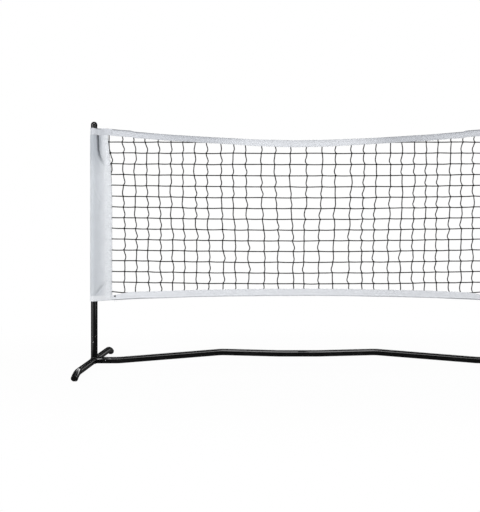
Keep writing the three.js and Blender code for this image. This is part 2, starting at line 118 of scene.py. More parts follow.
# %% A socket that understands + - * and a node maker
class Wire:
    """One output socket. Maths written on it adds Math nodes."""

    def __init__(self, nodes, socket):
        self.nodes = nodes
        self.socket = socket

    def math(self, operation, *values):
        return self.nodes.add("ShaderNodeMath", {"operation": operation}, dict(enumerate(values)))

    def __add__(self, other):
        return self.math("ADD", self, other)

    def __radd__(self, other):
        return self.math("ADD", other, self)

    def __sub__(self, other):
        return self.math("SUBTRACT", self, other)

    def __rsub__(self, other):
        return self.math("SUBTRACT", other, self)

    def __mul__(self, other):
        return self.math("MULTIPLY", self, other)

    def __rmul__(self, other):
        return self.math("MULTIPLY", other, self)

    def sine(self):
        return self.math("SINE", self)

    def size(self):
        return self.math("ABSOLUTE", self)

    def above(self, level):
        return self.math("GREATER_THAN", self, level)

    def ramp(self, low, high):
        """0 up to low, 1 from high on, and a smooth rise between them."""
        settings = {"interpolation_type": "SMOOTHSTEP"}
        sockets = {"Value": self, "From Min": low, "From Max": high}
        return self.nodes.add("ShaderNodeMapRange", settings, sockets)


class Nodes:
    """Adds nodes to one material or world."""

    def __init__(self, owner):
        owner.use_nodes = True
        self.owner = owner
        self.tree = owner.node_tree

    def feed(self, node, sockets):
        for name, value in sockets.items():
            if isinstance(value, Wire):
                self.tree.links.new(value.socket, node.inputs[name])
            else:
                node.inputs[name].default_value = value

    def add(self, kind, settings=None, sockets=None, output=0):
        node = self.tree.nodes.new(kind)
        for name, value in (settings or {}).items():
            setattr(node, name, value)
        self.feed(node, sockets or {})
        return Wire(self, node.outputs[output])

    def split(self, vector):
        """The X, Y and Z of a vector."""
        parts = self.add("ShaderNodeSeparateXYZ", sockets={"Vector": vector})
        return [Wire(self, output) for output in parts.socket.node.outputs]

    def place(self, kind):
        return self.add("ShaderNodeTexCoord", output=kind)

    def speckle(self, where, scale, detail=2.0, roughness=0.5):
        sockets = {"Vector": where, "Scale": scale, "Detail": detail, "Roughness": roughness}
        return self.add("ShaderNodeTexNoise", sockets=sockets)

    def blend(self, share, first, second):
        """A colour that goes from first to second as share goes from 0 to 1."""
        sockets = {0: share, 6: first, 7: second}
        return self.add("ShaderNodeMix", {"data_type": "RGBA"}, sockets, output=2)

    def relief(self, height, depth, strength=1.0):
        sockets = {"Height": height, "Distance": depth, "Strength": strength}
        return self.add("ShaderNodeBump", sockets=sockets)


def grey(level, warmth=0.0):
    """A nearly grey colour: a little warmth moves it from blue towards red."""
    return (level * (1 + warmth), level, level * (1 - warmth), 1.0)


print("node helpers ready")

# %% [markdown]
# ## Floor, background and light
# The picture is a catalogue cut-out on white. The floor is white to the camera and fades to pure
# white with distance, so that no horizon shows, yet it keeps a faint soft shadow near the net. The
# background's full white is only for what the camera sees, so it adds no unwanted light.
#
# Gloss black tubes would mirror a white room as grey. The real ones were lit between dark cards
# with a few bright ones, so gloss has surroundings of its own here. A Light Path node tells a
# mirrored ray from one that the camera sends. To a mirrored ray the room is nearly black, with one
# bright card high up in front. On each side a lit lane of floor runs outwards and forwards from
# the post.

# %% World
world = bpy.data.worlds.new("studio")
scene.world = world
sky = Nodes(world)
ray = {name: sky.add("ShaderNodeLightPath", output=name)
       for name in ("Is Camera Ray", "Is Glossy Ray", "Is Transmission Ray")}
seen = ray["Is Camera Ray"].math("MAXIMUM", ray["Is Camera Ray"], ray["Is Transmission Ray"])
AMBIENT = 0.37                        # light that the white room adds to everything
GLOSS_WHITE = 0.03                    # what gloss sees of that room
CEILING_CARD = 3.0                    # brightness of the overhead card, which only gloss mirrors
CARD_LOW_EDGE = (0.70, 0.78)          # each edge of the card is a soft step between two values
CARD_BACK_EDGE = (0.05, 0.15)         # of a direction's Z, Y or X, and its back edge is overhead
CARD_SIDE_EDGE = (0.08, 0.20)
sideways, away, up = sky.split(sky.place("Generated"))
card_depth = up.ramp(*CARD_LOW_EDGE) * (-1 * away).ramp(*CARD_BACK_EDGE)
card = card_depth * (1 - sideways.size().ramp(*CARD_SIDE_EDGE))
gloss_change = GLOSS_WHITE - AMBIENT + card * CEILING_CARD
backdrop = sky.tree.nodes["Background"]
sky.feed(backdrop, {
    "Color": (1, 1, 1, 1),
    "Strength": AMBIENT + seen * (1 - AMBIENT) + ray["Is Glossy Ray"] * gloss_change,
})
print("world ready")

# %% Floor
FLOOR_SIZE = 80
FLOOR_FADE = (0.45, 1.2)              # distances between which the floor turns to plain white
FLOOR_SELF_WHITE = 0.97               # share of the floor's white that is its own
PAPER = grey(0.66)                    # the floor as matt paper, and as gloss sees it
PAPER_IN_GLOSS = grey(0.1)
LANE_START = 0.783                    # how far out the posts are, where each lit lane starts
LANE_SLANT = 0.35                     # the lane's two edges lean this much from its diagonal
LANE_EDGE = 0.1                       # metres over which a lane's edge fades

floor_mesh = bpy.data.meshes.new("floor")
floor_shape = bmesh.new()
bmesh.ops.create_grid(floor_shape, x_segments=1, y_segments=1, size=FLOOR_SIZE / 2)
floor_shape.to_mesh(floor_mesh)
floor_shape.free()
floor = bpy.data.objects.new("floor", floor_mesh)
scene.collection.objects.link(floor)

paper = Nodes(bpy.data.materials.new("white_floor"))
oval = paper.add("ShaderNodeMapping",
                 sockets={"Vector": paper.place("Object"), "Scale": (0.5, 1, 1)})
distance = paper.add("ShaderNodeVectorMath", {"operation": "LENGTH"}, {0: oval}, output="Value")
white = paper.add("ShaderNodeEmission", sockets={"Color": (1, 1, 1, 1), "Strength": 1.0})
mirrored = paper.add("ShaderNodeLightPath", output="Is Glossy Ray")
matt_colour = paper.blend(mirrored, PAPER, PAPER_IN_GLOSS)
matt = paper.add("ShaderNodeBsdfDiffuse", sockets={"Color": matt_colour})
camera_sees = paper.add("ShaderNodeLightPath", output="Is Camera Ray")
across, along, _ = paper.split(paper.place("Object"))
outward, forward = across.size() - LANE_START, -1 * along
lane = ((outward - forward * LANE_SLANT).ramp(0, LANE_EDGE)
        * (forward - outward * LANE_SLANT).ramp(0, LANE_EDGE))
plain_white = FLOOR_SELF_WHITE + distance.ramp(*FLOOR_FADE) * (1 - FLOOR_SELF_WHITE)
own_light = camera_sees * plain_white + mirrored * lane
surface = paper.add("ShaderNodeMixShader", sockets={0: own_light, 1: matt, 2: white})
paper.feed(paper.tree.nodes["Material Output"], {"Surface": surface})
floor_mesh.materials.append(paper.owner)
print("floor", FLOOR_SIZE, "m wide")

# %% [markdown]
# The lamps are soft boxes and strips. The big ones in front and above light the cloth, and the
# narrow ones at the sides and behind draw the long, thin highlights on the tubes. A lamp behind
# the net would stand in the picture, so the camera doesn't see any of them.


# %% Lamps
def lamp(name, place, size, power):
    """A rectangular lamp at a place, turned to the middle of the net."""
    light = bpy.data.lights.new(name, "AREA")
    light.shape = "RECTANGLE"
    light.size, light.size_y = size
    light.energy = power
    lamp_object = bpy.data.objects.new(name, light)
    scene.collection.objects.link(lamp_object)
    lamp_object.location = place
    lamp_object.rotation_euler = (NET_MIDDLE - Vector(place)).to_track_quat("-Z", "Y").to_euler()
    lamp_object.visible_camera = False


NET_MIDDLE = Vector((0, 0, 0.5))
lamp("left_softbox", (-2.55, -1.95, 1.4), (0.5, 2.4), 39)
lamp("right_strip", (2.1, -2.0, 1.4), (0.35, 2.2), 12)
lamp("top_softbox", (0, -2.4, 3.0), (3.6, 0.9), 46)
lamp("low_back_strip", (0, 2.4, 0.25), (0.4, 0.4), 0.3)
lamp("high_back_strip", (0, 2.0, 1.15), (2.8, 0.3), 7)
lamp("back_fill", (0, 2.7, 2.0), (3.6, 1.2), 26)

# %% [markdown]
# ## Finishes of the frame
# The tubes are steel with a gloss black powder coat. Such a coat isn't a mirror: the powder melts
# into a faint orange peel, which breaks up the edges of reflections, and hands and court dust leave
# duller patches. A bump from fine noise gives the first and a roughness map the second.


# %% A finish with its constants and its shader
def finish(name, constants):
    """A new material whose shader has the given constants."""
    nodes = Nodes(bpy.data.materials.new(name))
    nodes.shader = nodes.tree.nodes["Principled BSDF"]
    nodes.feed(nodes.shader, constants)
    return nodes


def set_surface(nodes, **varying):
    """Feeds what changes over the surface, and hands back the material."""
    sockets = {"colour": "Base Color", "roughness": "Roughness", "normal": "Normal"}
    nodes.feed(nodes.shader, {sockets[key]: value for key, value in varying.items()})
    return nodes.owner


# %% Gloss black powder coat
coat = finish("gloss_black_coat",
              {"Specular IOR Level": 0.5, "Coat Weight": 0.25, "Coat Roughness": 0.06})
where = coat.place("Object")
peel = coat.speckle(where, 520, detail=1.0)
dust = coat.speckle(where, 14, detail=5.0, roughness=0.6).ramp(0.42, 0.72)
black_coat = set_surface(
    coat,
    colour=coat.blend(dust, grey(0.002, -0.05), grey(0.007, -0.02)),
    roughness=0.12 + peel * 0.04 + dust * 0.1,
    normal=coat.relief(peel, 0.12 * mm, 0.35),
)

# %% Moulded black plastic
plastic = finish("moulded_black_plastic",
                 {"Specular IOR Level": 0.5, "Coat Weight": 0.4, "Coat Roughness": 0.04})
where = plastic.place("Object")
grain = plastic.speckle(where, 1400, detail=2.0)
rub = plastic.speckle(where, 45, detail=4.0).ramp(0.5, 0.75)
black_plastic = set_surface(
    plastic,
    colour=plastic.blend(rub, grey(0.002), grey(0.008)),
    roughness=0.06 + grain * 0.03 + rub * 0.1,
    normal=plastic.relief(grain, 0.03 * mm, 0.25),
)


# %% Plated steel, for the buttons and their springs, and dark plated metal for the eyelets
def plated(name, level, warmth, polish):
    """Plating over brushed steel: fine lines one way, and a few duller spots."""
    metal = finish(name, {"Metallic": 1.0})
    where = metal.place("Object")
    long_lines = metal.add("ShaderNodeMapping", sockets={"Vector": where, "Scale": (1, 1, 0.06)})
    lines = metal.speckle(long_lines, 5200, detail=1.0)
    spots = metal.speckle(where, 300, detail=3.0).ramp(0.5, 0.7)
    return set_surface(
        metal,
        colour=metal.blend(spots, grey(level, warmth), grey(level * 0.72, warmth)),
        roughness=polish + lines * 0.12 + spots * 0.15,
        normal=metal.relief(lines, 0.03 * mm, 0.3),
    )


button_steel = plated("plated_button_steel", 0.34, -0.01, 0.16)
spring_steel = plated("blued_spring_steel", 0.36, -0.04, 0.25)
eyelet_metal = plated("dark_eyelet_plating", 0.10, -0.04, 0.3)
print("frame finishes:", black_coat.name, black_plastic.name, button_steel.name, eyelet_metal.name)

# %% [markdown]
# ## Finishes of the net
# The sleeves are white woven nylon, the tapes a heavier cloth with a smooth vinyl face, and the
# net is twisted dark twine. A weave has to follow the cloth round a post, so it is drawn on the
# piece's UV map, which is laid out in real metres: then one thread is as wide on every piece.


# %% Woven cloth
def woven(name, colour, thread, depth, gloss, shade):
    """Plain weave: each thread passes over one and under the next. Hands back the nodes, the plain
    cloth's colour and the material."""
    cloth = finish(name, {"Sheen Weight": 0.25, "Sheen Roughness": 0.4, "Specular IOR Level": 0.3})
    across, along, _ = cloth.split(cloth.place("UV"))
    warp, weft = (across * (math.pi / thread)).sine(), (along * (math.pi / thread)).sine()
    over = (warp * weft).above(0)
    height = over * warp.size() + (1 - over) * weft.size()
    where = cloth.place("Object")
    wear = cloth.speckle(where, 26, detail=5.0, roughness=0.6).ramp(0.35, 0.7)
    slub = cloth.speckle(where, 420, detail=2.0)
    # The weave's dips are painted darker and its raised threads paler, which is painted shade, with
    # random tone from the slubs. The dim colour is also the colour of wear.
    dim = tuple(part * shade for part in colour[:3]) + (1.0,)
    pale = tuple(min(part * 1.05, 0.9) for part in colour[:3]) + (1.0,)
    yarn = cloth.blend(height * 0.5 + slub * 0.5, dim, pale)
    worn = cloth.blend(wear * 0.35, yarn, dim)
    return cloth, worn, set_surface(
        cloth,
        colour=worn,
        roughness=gloss + slub * 0.12 + wear * 0.08,
        normal=cloth.relief(height + slub * 0.6, depth, 0.5),
    )


# %% [markdown]
# A sleeve is paler where it is double, along the hem and the flap, because less light gets lost
# through two layers. Its upper part over the post is painted darker, which is painted shade, and a
# thin strip along its lower edge and its deepest fold get painted shade too. Two numbers kept at
# the sleeve's points, its distance from the post and the fold's depth, say where.

# %% Sleeve cloth
HEM_FOLD = 20.3 * mm                  # hem of the sleeve, turned up and sewn

nylon, plain, sleeve_cloth = woven("white_woven_nylon", (0.62, 0.65, 0.69, 1),
                                   0.9 * mm, 0.16 * mm, 0.62, 0.86)
_, up, _ = nylon.split(nylon.place("UV"))
across = nylon.add("ShaderNodeAttribute", {"attribute_name": "from_post"}, output="Fac")
soil = nylon.add("ShaderNodeAttribute", {"attribute_name": "fold_soil"}, output="Fac")
cloud = nylon.speckle(nylon.place("Object"), 30, detail=3.0)
lap = (across + cloud * 0.016 - 0.008).ramp(12 * mm, 50 * mm) * 0.75
hem = 1 - up.ramp(HEM_FOLD - mm, HEM_FOLD + mm)
doubled = lap.math("MAXIMUM", lap, hem)
# Painted shade: the upper part over the post is painted darker.
handled = (up + cloud * 0.06).ramp(0.50, 0.62) * (1 - across.ramp(20 * mm, 40 * mm))
# Painted shade: a thin strip along the lower edge of the flap.
edge_rub = (1 - up.ramp(0.8 * mm, 3.2 * mm)) * across.ramp(10 * mm, 16 * mm)
specks = nylon.speckle(nylon.place("Object"), 330, detail=1.0).ramp(0.54, 0.66)
specks = specks * across.ramp(34 * mm, 48 * mm)
used = nylon.blend(handled * 0.8, plain, (0.42, 0.45, 0.49, 1))
used = nylon.blend(doubled * 0.8, used, (0.83, 0.85, 0.88, 1))
used = nylon.blend(specks * 0.35 + edge_rub * 0.6, used, (0.36, 0.39, 0.41, 1))
# Painted shade: the deepest crease is painted nearly black.
set_surface(nylon, colour=nylon.blend(soil * 0.9, used, (0.10, 0.113, 0.13, 1)))

# %% [markdown]
# The tape's cloth is the same weave, flatter and whiter. A grey line is painted along its fold, as
# painted shade where the fold turns over the cord, and it is darker near the ends. The tape is also
# painted darker towards the posts, which is painted shade. Both follow the UV map: its first
# direction runs across the tape and its second along it, so each is a mask on one of those values.

# %% Tape cloth
GREY_LINE = 5.2 * mm                  # half width of the line along the fold, along the cloth
HANDLED = (0.20, 0.36)                # distances from the tape's middle over which it greys
TAPE_WORN, TAPE_LINE = (0.54, 0.56, 0.60, 1), (0.16, 0.17, 0.19, 1)


def taped(name, colour, width, length, handled):
    """Tape of the given unfolded width and length, folded along its middle."""
    tape, plain, material = woven(name, colour, 0.7 * mm, 0.08 * mm, 0.45, 0.93)
    across, along, _ = tape.split(tape.place("UV"))
    out = (along - length / 2).size()
    cloud = tape.speckle(tape.place("Object"), 11, detail=3.0)
    # Painted shade: darker towards the posts, and the fold's line is painted darker near the ends.
    grime = (out + cloud * 0.16 - 0.08).ramp(*HANDLED) * (1 - out.ramp(0.42, 0.6) * 0.35) * handled
    rubbed = (out + cloud * 0.08).ramp(0.56, 0.66)
    # Painted shade: a grey line along the fold, where it turns over the cord.
    line = 1 - (across - width / 2).size().ramp(GREY_LINE * 0.7, GREY_LINE * 1.35)
    used = tape.blend(grime, plain, TAPE_WORN)
    share = line * (0.22 + grime * 0.2 + rubbed * 0.4)
    set_surface(tape, colour=tape.blend(share, used, TAPE_LINE))
    return material


# %% Twisted twine
twine = finish("dark_twisted_twine", {"Specular IOR Level": 0.35})
around, along, _ = twine.split(twine.place("UV"))
LAY = 4.5 * mm                        # length of one turn of the twist
PLIES = 3
strand = (around * (PLIES * 2 * math.pi) + along * (2 * math.pi / LAY)).sine()
fluff = twine.speckle(twine.place("Object"), 900, detail=2.0)
fade = twine.speckle(twine.place("Object"), 60, detail=4.0).ramp(0.35, 0.7)
net_twine = set_surface(
    twine,
    colour=twine.blend(fade * 0.6 + strand.ramp(-1, 1) * 0.4, grey(0.006), grey(0.020, 0.02)),
    roughness=0.62 + fluff * 0.25,
    normal=twine.relief(strand * 0.5 + fluff * 0.5, 0.4 * mm, 0.6),
)

# %% Sewing thread and braided cord
thread = finish("white_sewing_thread", {"Specular IOR Level": 0.35, "Sheen Weight": 0.2})
where = thread.place("Object")
ply = thread.speckle(where, 2600, detail=1.0)
soil = thread.speckle(where, 40, detail=3.0).ramp(0.4, 0.7)
sewing_thread = set_surface(
    thread,
    colour=thread.blend(soil * 0.6 + ply * 0.4, grey(0.74, -0.02), grey(0.5, -0.02)),
    roughness=0.55 + ply * 0.2,
    normal=thread.relief(ply, 0.1 * mm, 0.6),
)

cord = finish("white_braided_cord", {"Specular IOR Level": 0.3})
crossing = cord.add("ShaderNodeTexWave", {"bands_direction": "DIAGONAL"},
                    {"Vector": cord.place("Object"), "Scale": 180.0, "Distortion": 1.5})
edge_cord = set_surface(
    cord,
    colour=cord.blend(crossing, grey(0.55), grey(0.8)),
    roughness=0.6 + crossing * 0.2,
    normal=cord.relief(crossing, 0.4 * mm, 0.7),
)
print("cloth finishes:", sleeve_cloth.name, net_twine.name, sewing_thread.name, edge_cord.name)

# %% [markdown]
# ## Sizes that the pieces share
# The places come from the CAD nodes' boxes, so the dressed pieces stay where the CAD has them. The
# few numbers below them are the CAD's own driving sizes that a box doesn't show.

# %% Sizes read from the CAD
low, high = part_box("left_post_cap")
POST_X = -(low.x + high.x) / 2
TUBE = (high.x - low.x) / 2           # outer radius of every tube
POST_TOP = high.z
CAP_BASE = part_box("left_post_tube")[1].z
SOCKET_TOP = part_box("left_post_socket")[1].z
low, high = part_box("left_rail_socket")
FOOT_AXIS = (low.z + high.z) / 2      # height of the foot's and the rail socket's axes
RAIL_MOUTH = high.x
NET_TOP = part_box("left_tape_loop")[1].z
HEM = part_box("left_sleeve")[0].z
SLEEVE_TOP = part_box("left_sleeve")[1].z
BAND_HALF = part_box("top_band")[1].x
NET_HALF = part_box("net_mesh")[1].x
print(f"post {POST_X * 1000:.1f} mm out, tube radius {TUBE * 1000:.1f}, "
      f"foot axis {FOOT_AXIS * 1000:.2f}")

# %% Sizes of the frame that a box doesn't show
WALL = 1.2 * mm
BORE = TUBE - WALL
SPIGOT = BORE - 0.3 * mm              # outer radius of a swaged end
SPIGOT_BORE = SPIGOT - WALL
GAP = 0.3 * mm                        # between pieces that rest face to face
SWAGE_CONE = 3 * mm
BEND_ANGLE = math.radians(28)
BEND_RADIUS = 110 * mm
FOOT_TAIL = 4.5 * mm
PLUG_FLANGE = 3 * mm
PLUG_INSERT = 12 * mm
PLUG_CHAMFER = 0.4 * mm
PLUG_CLEARANCE = 0.6 * mm
FOOT_LENGTH = 560 * mm
FOOT_STRAIGHT = (FOOT_LENGTH / 2 - (TUBE - PLUG_CHAMFER + BEND_RADIUS) * math.sin(BEND_ANGLE)
                 - FOOT_TAIL * math.cos(BEND_ANGLE))
FOOT_PATH = FOOT_STRAIGHT + BEND_RADIUS * BEND_ANGLE + FOOT_TAIL
POST_SEAM = SOCKET_TOP + GAP
POST_SPIGOT = 64 * mm
BUTTON = 3 * mm                       # radius
BUTTON_HOLE = BUTTON + 0.4 * mm
BUTTON_HEIGHT = 95.5 * mm
RAIL_BUTTON_X = -POST_X + 46.5 * mm
print(f"foot: {FOOT_STRAIGHT * 1000:.1f} mm straight each way, "
      f"{FOOT_PATH * 1000:.1f} mm along the bend")

# %% [markdown]
# ## Ways of making round pieces
# A tube, a cap and a button are all round about an axis, so each starts as a profile of a few
# points that is spun, as a lathe would turn it. Modelling with a plain cylinder would give sharp,
# lifeless rims, so the rims are bevelled: a bevelled rim catches a thin line of light. A bent foot
# is first made straight, as in the workshop, and then bent by moving its points onto the curve.

# %% Turning, softening and placing
ROUND = 48                            # sides of a tube


def turn(bm, profile, sides=ROUND, closed=False):
    """Spins a profile of (radius, height) points about Z. A closed profile makes a tube wall."""
    corners = [bm.verts.new((radius, 0, height)) for radius, height in profile]
    ends = corners[1:] + corners[:1] if closed else corners[1:]
    edges = [bm.edges.new(pair) for pair in zip(corners, ends)]
    bmesh.ops.spin(bm, geom=corners + edges, cent=(0, 0, 0), axis=(0, 0, 1), angle=2 * math.pi,
                   steps=sides, use_merge=True)
    bmesh.ops.remove_doubles(bm, verts=bm.verts[:], dist=0.001 * mm)
    bmesh.ops.recalc_face_normals(bm, faces=bm.faces[:])


def pipe(bm, stations, sides=ROUND):
    """A hollow tube along Z from stations of (height, outer radius, inner radius)."""
    loop = [(outer, height) for height, outer, _ in stations]
    loop += [(inner, height) for height, _, inner in reversed(stations)]
    corners = [point for i, point in enumerate(loop) if point != loop[i - 1]]
    turn(bm, corners, sides, closed=True)


def soften(bm, width, segments=2, least=50):
    """Bevels the edges that turn by more than `least` degrees."""
    rims = [e for e in bm.edges
            if len(e.link_faces) == 2 and e.calc_face_angle(0) > math.radians(least)]
    bmesh.ops.bevel(bm, geom=rims, offset=width, offset_type="OFFSET", affect="EDGES",
                    segments=segments, profile=0.5, material=-1)


def move(bm, to):
    """Moves every point to to(point)."""
    for vert in bm.verts:
        vert.co = to(vert.co.copy())


def steps(start, end, count):
    return [start + (end - start) * i / count for i in range(count + 1)]


# %% Making a piece out of a shape
SMOOTH_ANGLE = 42                     # degrees: a sharper edge than this stays crisp


def piece(name, shape, material, slot, body=None, replaces=()):
    """Turns a bmesh into an object that wears a finish. It rides a body, if any, and stands for
    CAD nodes."""
    mesh = bpy.data.meshes.new(name)
    shape.to_mesh(mesh)
    shape.free()
    mesh.shade_smooth()
    mesh.set_sharp_from_angle(angle=math.radians(SMOOTH_ANGLE))
    mesh.materials.append(material)
    made = bpy.data.objects.new(name, mesh)
    scene.collection.objects.link(made)
    if body:
        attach(made, body)
    if replaces:
        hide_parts(*replaces)
    return made


def other_side(shape):
    """The mirror image of a left-hand shape, with its faces turned outwards again."""
    twin = shape.copy()
    bmesh.ops.scale(twin, vec=(-1, 1, 1), verts=twin.verts[:])
    bmesh.ops.reverse_faces(twin, faces=twin.faces[:])
    return twin


def pair(name, shape, material, slot, body="frame", node=None):
    """A left piece and its mirror image on the right."""
    shapes = {"left": shape, "right": other_side(shape)}
    made = {}
    for side, one in shapes.items():
        rides = body if body in frame["bodies"] else f"{side}_{body}"
        stands_for = [f"{side}_{node}"] if node else ()
        made[side] = piece(f"{side}_{name}", one, material, slot, rides, stands_for)
    return made


def apply_modifiers(made):
    """Replaces a piece's mesh by what its modifiers make of it."""
    seen = made.evaluated_get(bpy.context.evaluated_depsgraph_get())
    mesh = bpy.data.meshes.new_from_object(seen)
    made.modifiers.clear()
    made.data = mesh


def drill(made, radius, x, z, depth=(-20 * mm, 0)):
    """Cuts a round hole through a piece, from the front to the middle unless depth says more."""
    tool = bmesh.new()
    turn(tool, [(0, -depth[1]), (radius, -depth[1]), (radius, -depth[0]), (0, -depth[0])], sides=24)
    move(tool, lambda p: Vector((x + p.x, -p.z, z + p.y)))
    bmesh.ops.recalc_face_normals(tool, faces=tool.faces[:])
    mesh = bpy.data.meshes.new("drill")
    tool.to_mesh(mesh)
    tool.free()
    bit = bpy.data.objects.new("drill", mesh)
    scene.collection.objects.link(bit)
    cut = made.modifiers.new("hole", "BOOLEAN")
    cut.operation, cut.solver, cut.object = "DIFFERENCE", "EXACT", bit
    apply_modifiers(made)
    made.data.set_sharp_from_angle(angle=math.radians(SMOOTH_ANGLE))
    bpy.data.objects.remove(bit)
    bpy.data.meshes.remove(mesh)


print("modelling helpers ready")

# %% [markdown]
# ## Feet
# Each foot is one steel tube, bent down at both ends to the floor. A sweep along a curve would
# also do, but turning a straight tube and then bending it keeps the wall even and the seams
# closed, and the same bend carries the end plugs.


# %% The foot's bend
def onto_foot(point):
    """Puts a point of a straight tube along Z onto the left foot's centre line."""
    run = abs(point.z)
    way = math.copysign(1, point.z)
    bend = min(max((run - FOOT_STRAIGHT) / BEND_RADIUS, 0), BEND_ANGLE)
    tail = max(run - FOOT_STRAIGHT - BEND_RADIUS * BEND_ANGLE, 0)
    out = min(run, FOOT_STRAIGHT) + BEND_RADIUS * math.sin(bend) + tail * math.cos(bend)
    drop = BEND_RADIUS * (1 - math.cos(bend)) + tail * math.sin(bend)
    centre = Vector((-POST_X, way * out, FOOT_AXIS - drop))
    up = Vector((0, way * math.sin(bend), math.cos(bend)))
    return centre + up * point.y - Vector((point.x, 0, 0))


# %% Foot tubes
shape = bmesh.new()
end = FOOT_PATH - PLUG_FLANGE - GAP
half = steps(FOOT_STRAIGHT, FOOT_PATH - FOOT_TAIL, 14) + [end]
pipe(shape, [(s, TUBE, BORE) for s in [-s for s in reversed(half)] + half])
soften(shape, 0.35 * mm)
move(shape, onto_foot)
feet = pair("bent_foot", shape, black_coat, "black_coat", node="foot_tube")
print("feet:", len(feet["left"].data.polygons), "faces each")

# %% [markdown]
# The plugs close the feet and are what the net stands on. Each is moulded: a rim over the tube's
# end, a shallow dish in its face, and a small flat where it meets the floor. The flat is a cut by
# the floor's own plane, filled again.

# %% Foot plugs
PLUG_RIM = 2.6 * mm                   # width of the rim round the dish
DISH_SLOPE = 0.8 * mm
DISH_DEPTH = 0.9 * mm
for where_to, way in (("front", -1), ("back", 1)):
    shape = bmesh.new()
    rim = FOOT_PATH - PLUG_FLANGE
    inside = BORE - PLUG_CLEARANCE
    dish_floor = FOOT_PATH - DISH_DEPTH
    turn(shape, [
        (0, rim - PLUG_INSERT), (inside, rim - PLUG_INSERT), (inside, rim), (TUBE, rim),
        (TUBE, FOOT_PATH - PLUG_CHAMFER), (TUBE - PLUG_CHAMFER, FOOT_PATH),
        (TUBE - PLUG_RIM, FOOT_PATH), (TUBE - PLUG_RIM - DISH_SLOPE, dish_floor), (0, dish_floor),
    ])
    soften(shape, 0.25 * mm)
    if way < 0:
        move(shape, lambda p: Vector((p.x, -p.y, -p.z)))
    move(shape, onto_foot)
    bmesh.ops.bisect_plane(shape, geom=shape.verts[:] + shape.edges[:] + shape.faces[:],
                           plane_co=(0, 0, 0), plane_no=(0, 0, -1), clear_outer=True)
    bmesh.ops.holes_fill(shape, edges=[e for e in shape.edges if e.is_boundary], sides=0)
    bmesh.ops.recalc_face_normals(shape, faces=shape.faces[:])
    pair(f"{where_to}_toe_plug", shape, black_plastic, "black_plastic",
         node=f"foot_{where_to}_plug")
print("plugs: 4")

# %% [markdown]
# ## Sockets and their welds
# The post's socket stands on the foot tube, and the rail's socket is welded to both. The end of
# each is coped, which means cut to fit the round tube that it meets. The lower ring of points is
# moved onto that curve: a Boolean would give the same shape with worse edges. The weld is a small
# rope of metal round the joint, its ripples left by the welder's hand.

# %% Coped sockets
SADDLE = TUBE + GAP                   # radius of the curve that each socket's end is cut to
SOCKET_LIP = 10 * mm                  # length of the straight end that stays out of the cut


def above_foot(x):
    """Height over the foot's axis of a saddle that clears the foot tube, x from its middle."""
    return math.sqrt(SADDLE ** 2 - min(x * x, TUBE * TUBE))


def clear_of_both(y, rise):
    """How far out the rail socket starts, to clear the foot tube and the post's socket."""
    foot = above_foot(rise)
    return max(foot, above_foot(y)) if rise > 0 else foot


shape = bmesh.new()
pipe(shape, [(0, TUBE, BORE), (SOCKET_TOP - SOCKET_LIP, TUBE, BORE), (SOCKET_TOP, TUBE, BORE)])
soften(shape, 0.35 * mm)
move(shape, lambda p: Vector((
    p.x - POST_X, p.y, FOOT_AXIS + above_foot(p.x) + p.z if p.z < mm else p.z)))
post_sockets = pair("upright_socket", shape, black_coat, "black_coat", node="post_socket")
for side, way in (("left", -1), ("right", 1)):
    drill(post_sockets[side], BUTTON_HOLE, way * POST_X, BUTTON_HEIGHT)

shape = bmesh.new()
reach = RAIL_MOUTH + POST_X
pipe(shape, [(0, TUBE, BORE), (reach - SOCKET_LIP, TUBE, BORE), (reach, TUBE, BORE)])
soften(shape, 0.35 * mm)
move(shape, lambda p: Vector((
    (clear_of_both(p.y, -p.x) + p.z if p.z < mm else p.z) - POST_X, p.y, FOOT_AXIS - p.x)))
rail_sockets = pair("side_socket", shape, black_coat, "black_coat", node="rail_socket")
for side, way in (("left", -1), ("right", 1)):
    drill(rail_sockets[side], BUTTON_HOLE, -way * RAIL_BUTTON_X, FOOT_AXIS)
print("sockets: 4, each with a button hole")


# %% A tube through a row of points
def thread_tube(bm, points, radius, sides, closed=False, flat=(0, 1, 0)):
    """Wraps a flat grid round a line of points. radius(i) is the radius at point i, and flat is a
    direction that the line never takes. The UV map holds turns round it and metres along it."""
    count = len(points)
    line = points + points[:1] if closed else points
    rows = len(line) - 1
    grid = bmesh.ops.create_grid(bm, x_segments=sides, y_segments=rows, size=0.5,
                                 calc_uvs=True)["verts"]
    marks = [0.0]
    for a, b in zip(line, line[1:]):
        marks.append(marks[-1] + (b - a).length)
    frames = []
    for i, point in enumerate(line):
        ahead = line[(i + 1) % count] if closed else line[min(i + 1, count - 1)]
        behind = points[(i - 1) % count] if closed else line[max(i - 1, 0)]
        across = (ahead - behind).normalized().cross(Vector(flat)).normalized()
        out = across.cross(ahead - behind).normalized()
        frames.append((point, across, out, radius(i % count)))
    uv = bm.loops.layers.uv.verify()
    for face in {f for v in grid for f in v.link_faces}:
        for loop in face.loops:
            turns, row = loop.vert.co.x + 0.5, round((loop.vert.co.y + 0.5) * rows)
            loop[uv].uv = (turns, marks[row])
    for vert in grid:
        point, across, out, size = frames[round((vert.co.y + 0.5) * rows)]
        angle = 2 * math.pi * (vert.co.x + 0.5)
        vert.co = point + (across * math.cos(angle) + out * math.sin(angle)) * size
    bmesh.ops.remove_doubles(bm, verts=grid, dist=0.001 * mm)


def close_ends(bm):
    """Fills the open ends of the tubes and turns every face outwards."""
    bmesh.ops.holes_fill(bm, edges=[e for e in bm.edges if e.is_boundary], sides=0)
    bmesh.ops.recalc_face_normals(bm, faces=bm.faces[:])


# %% Weld beads
BEAD = 1.7 * mm                       # radius
RIPPLE = 2.6 * mm                     # length of one ripple of the bead
RIPPLE_HEIGHT, UNEVENNESS = 0.13, 0.08    # as shares of the radius
BEAD_OUT, BEAD_UP = 0.5 * mm, 0.4 * mm    # from the corner where the two tubes meet


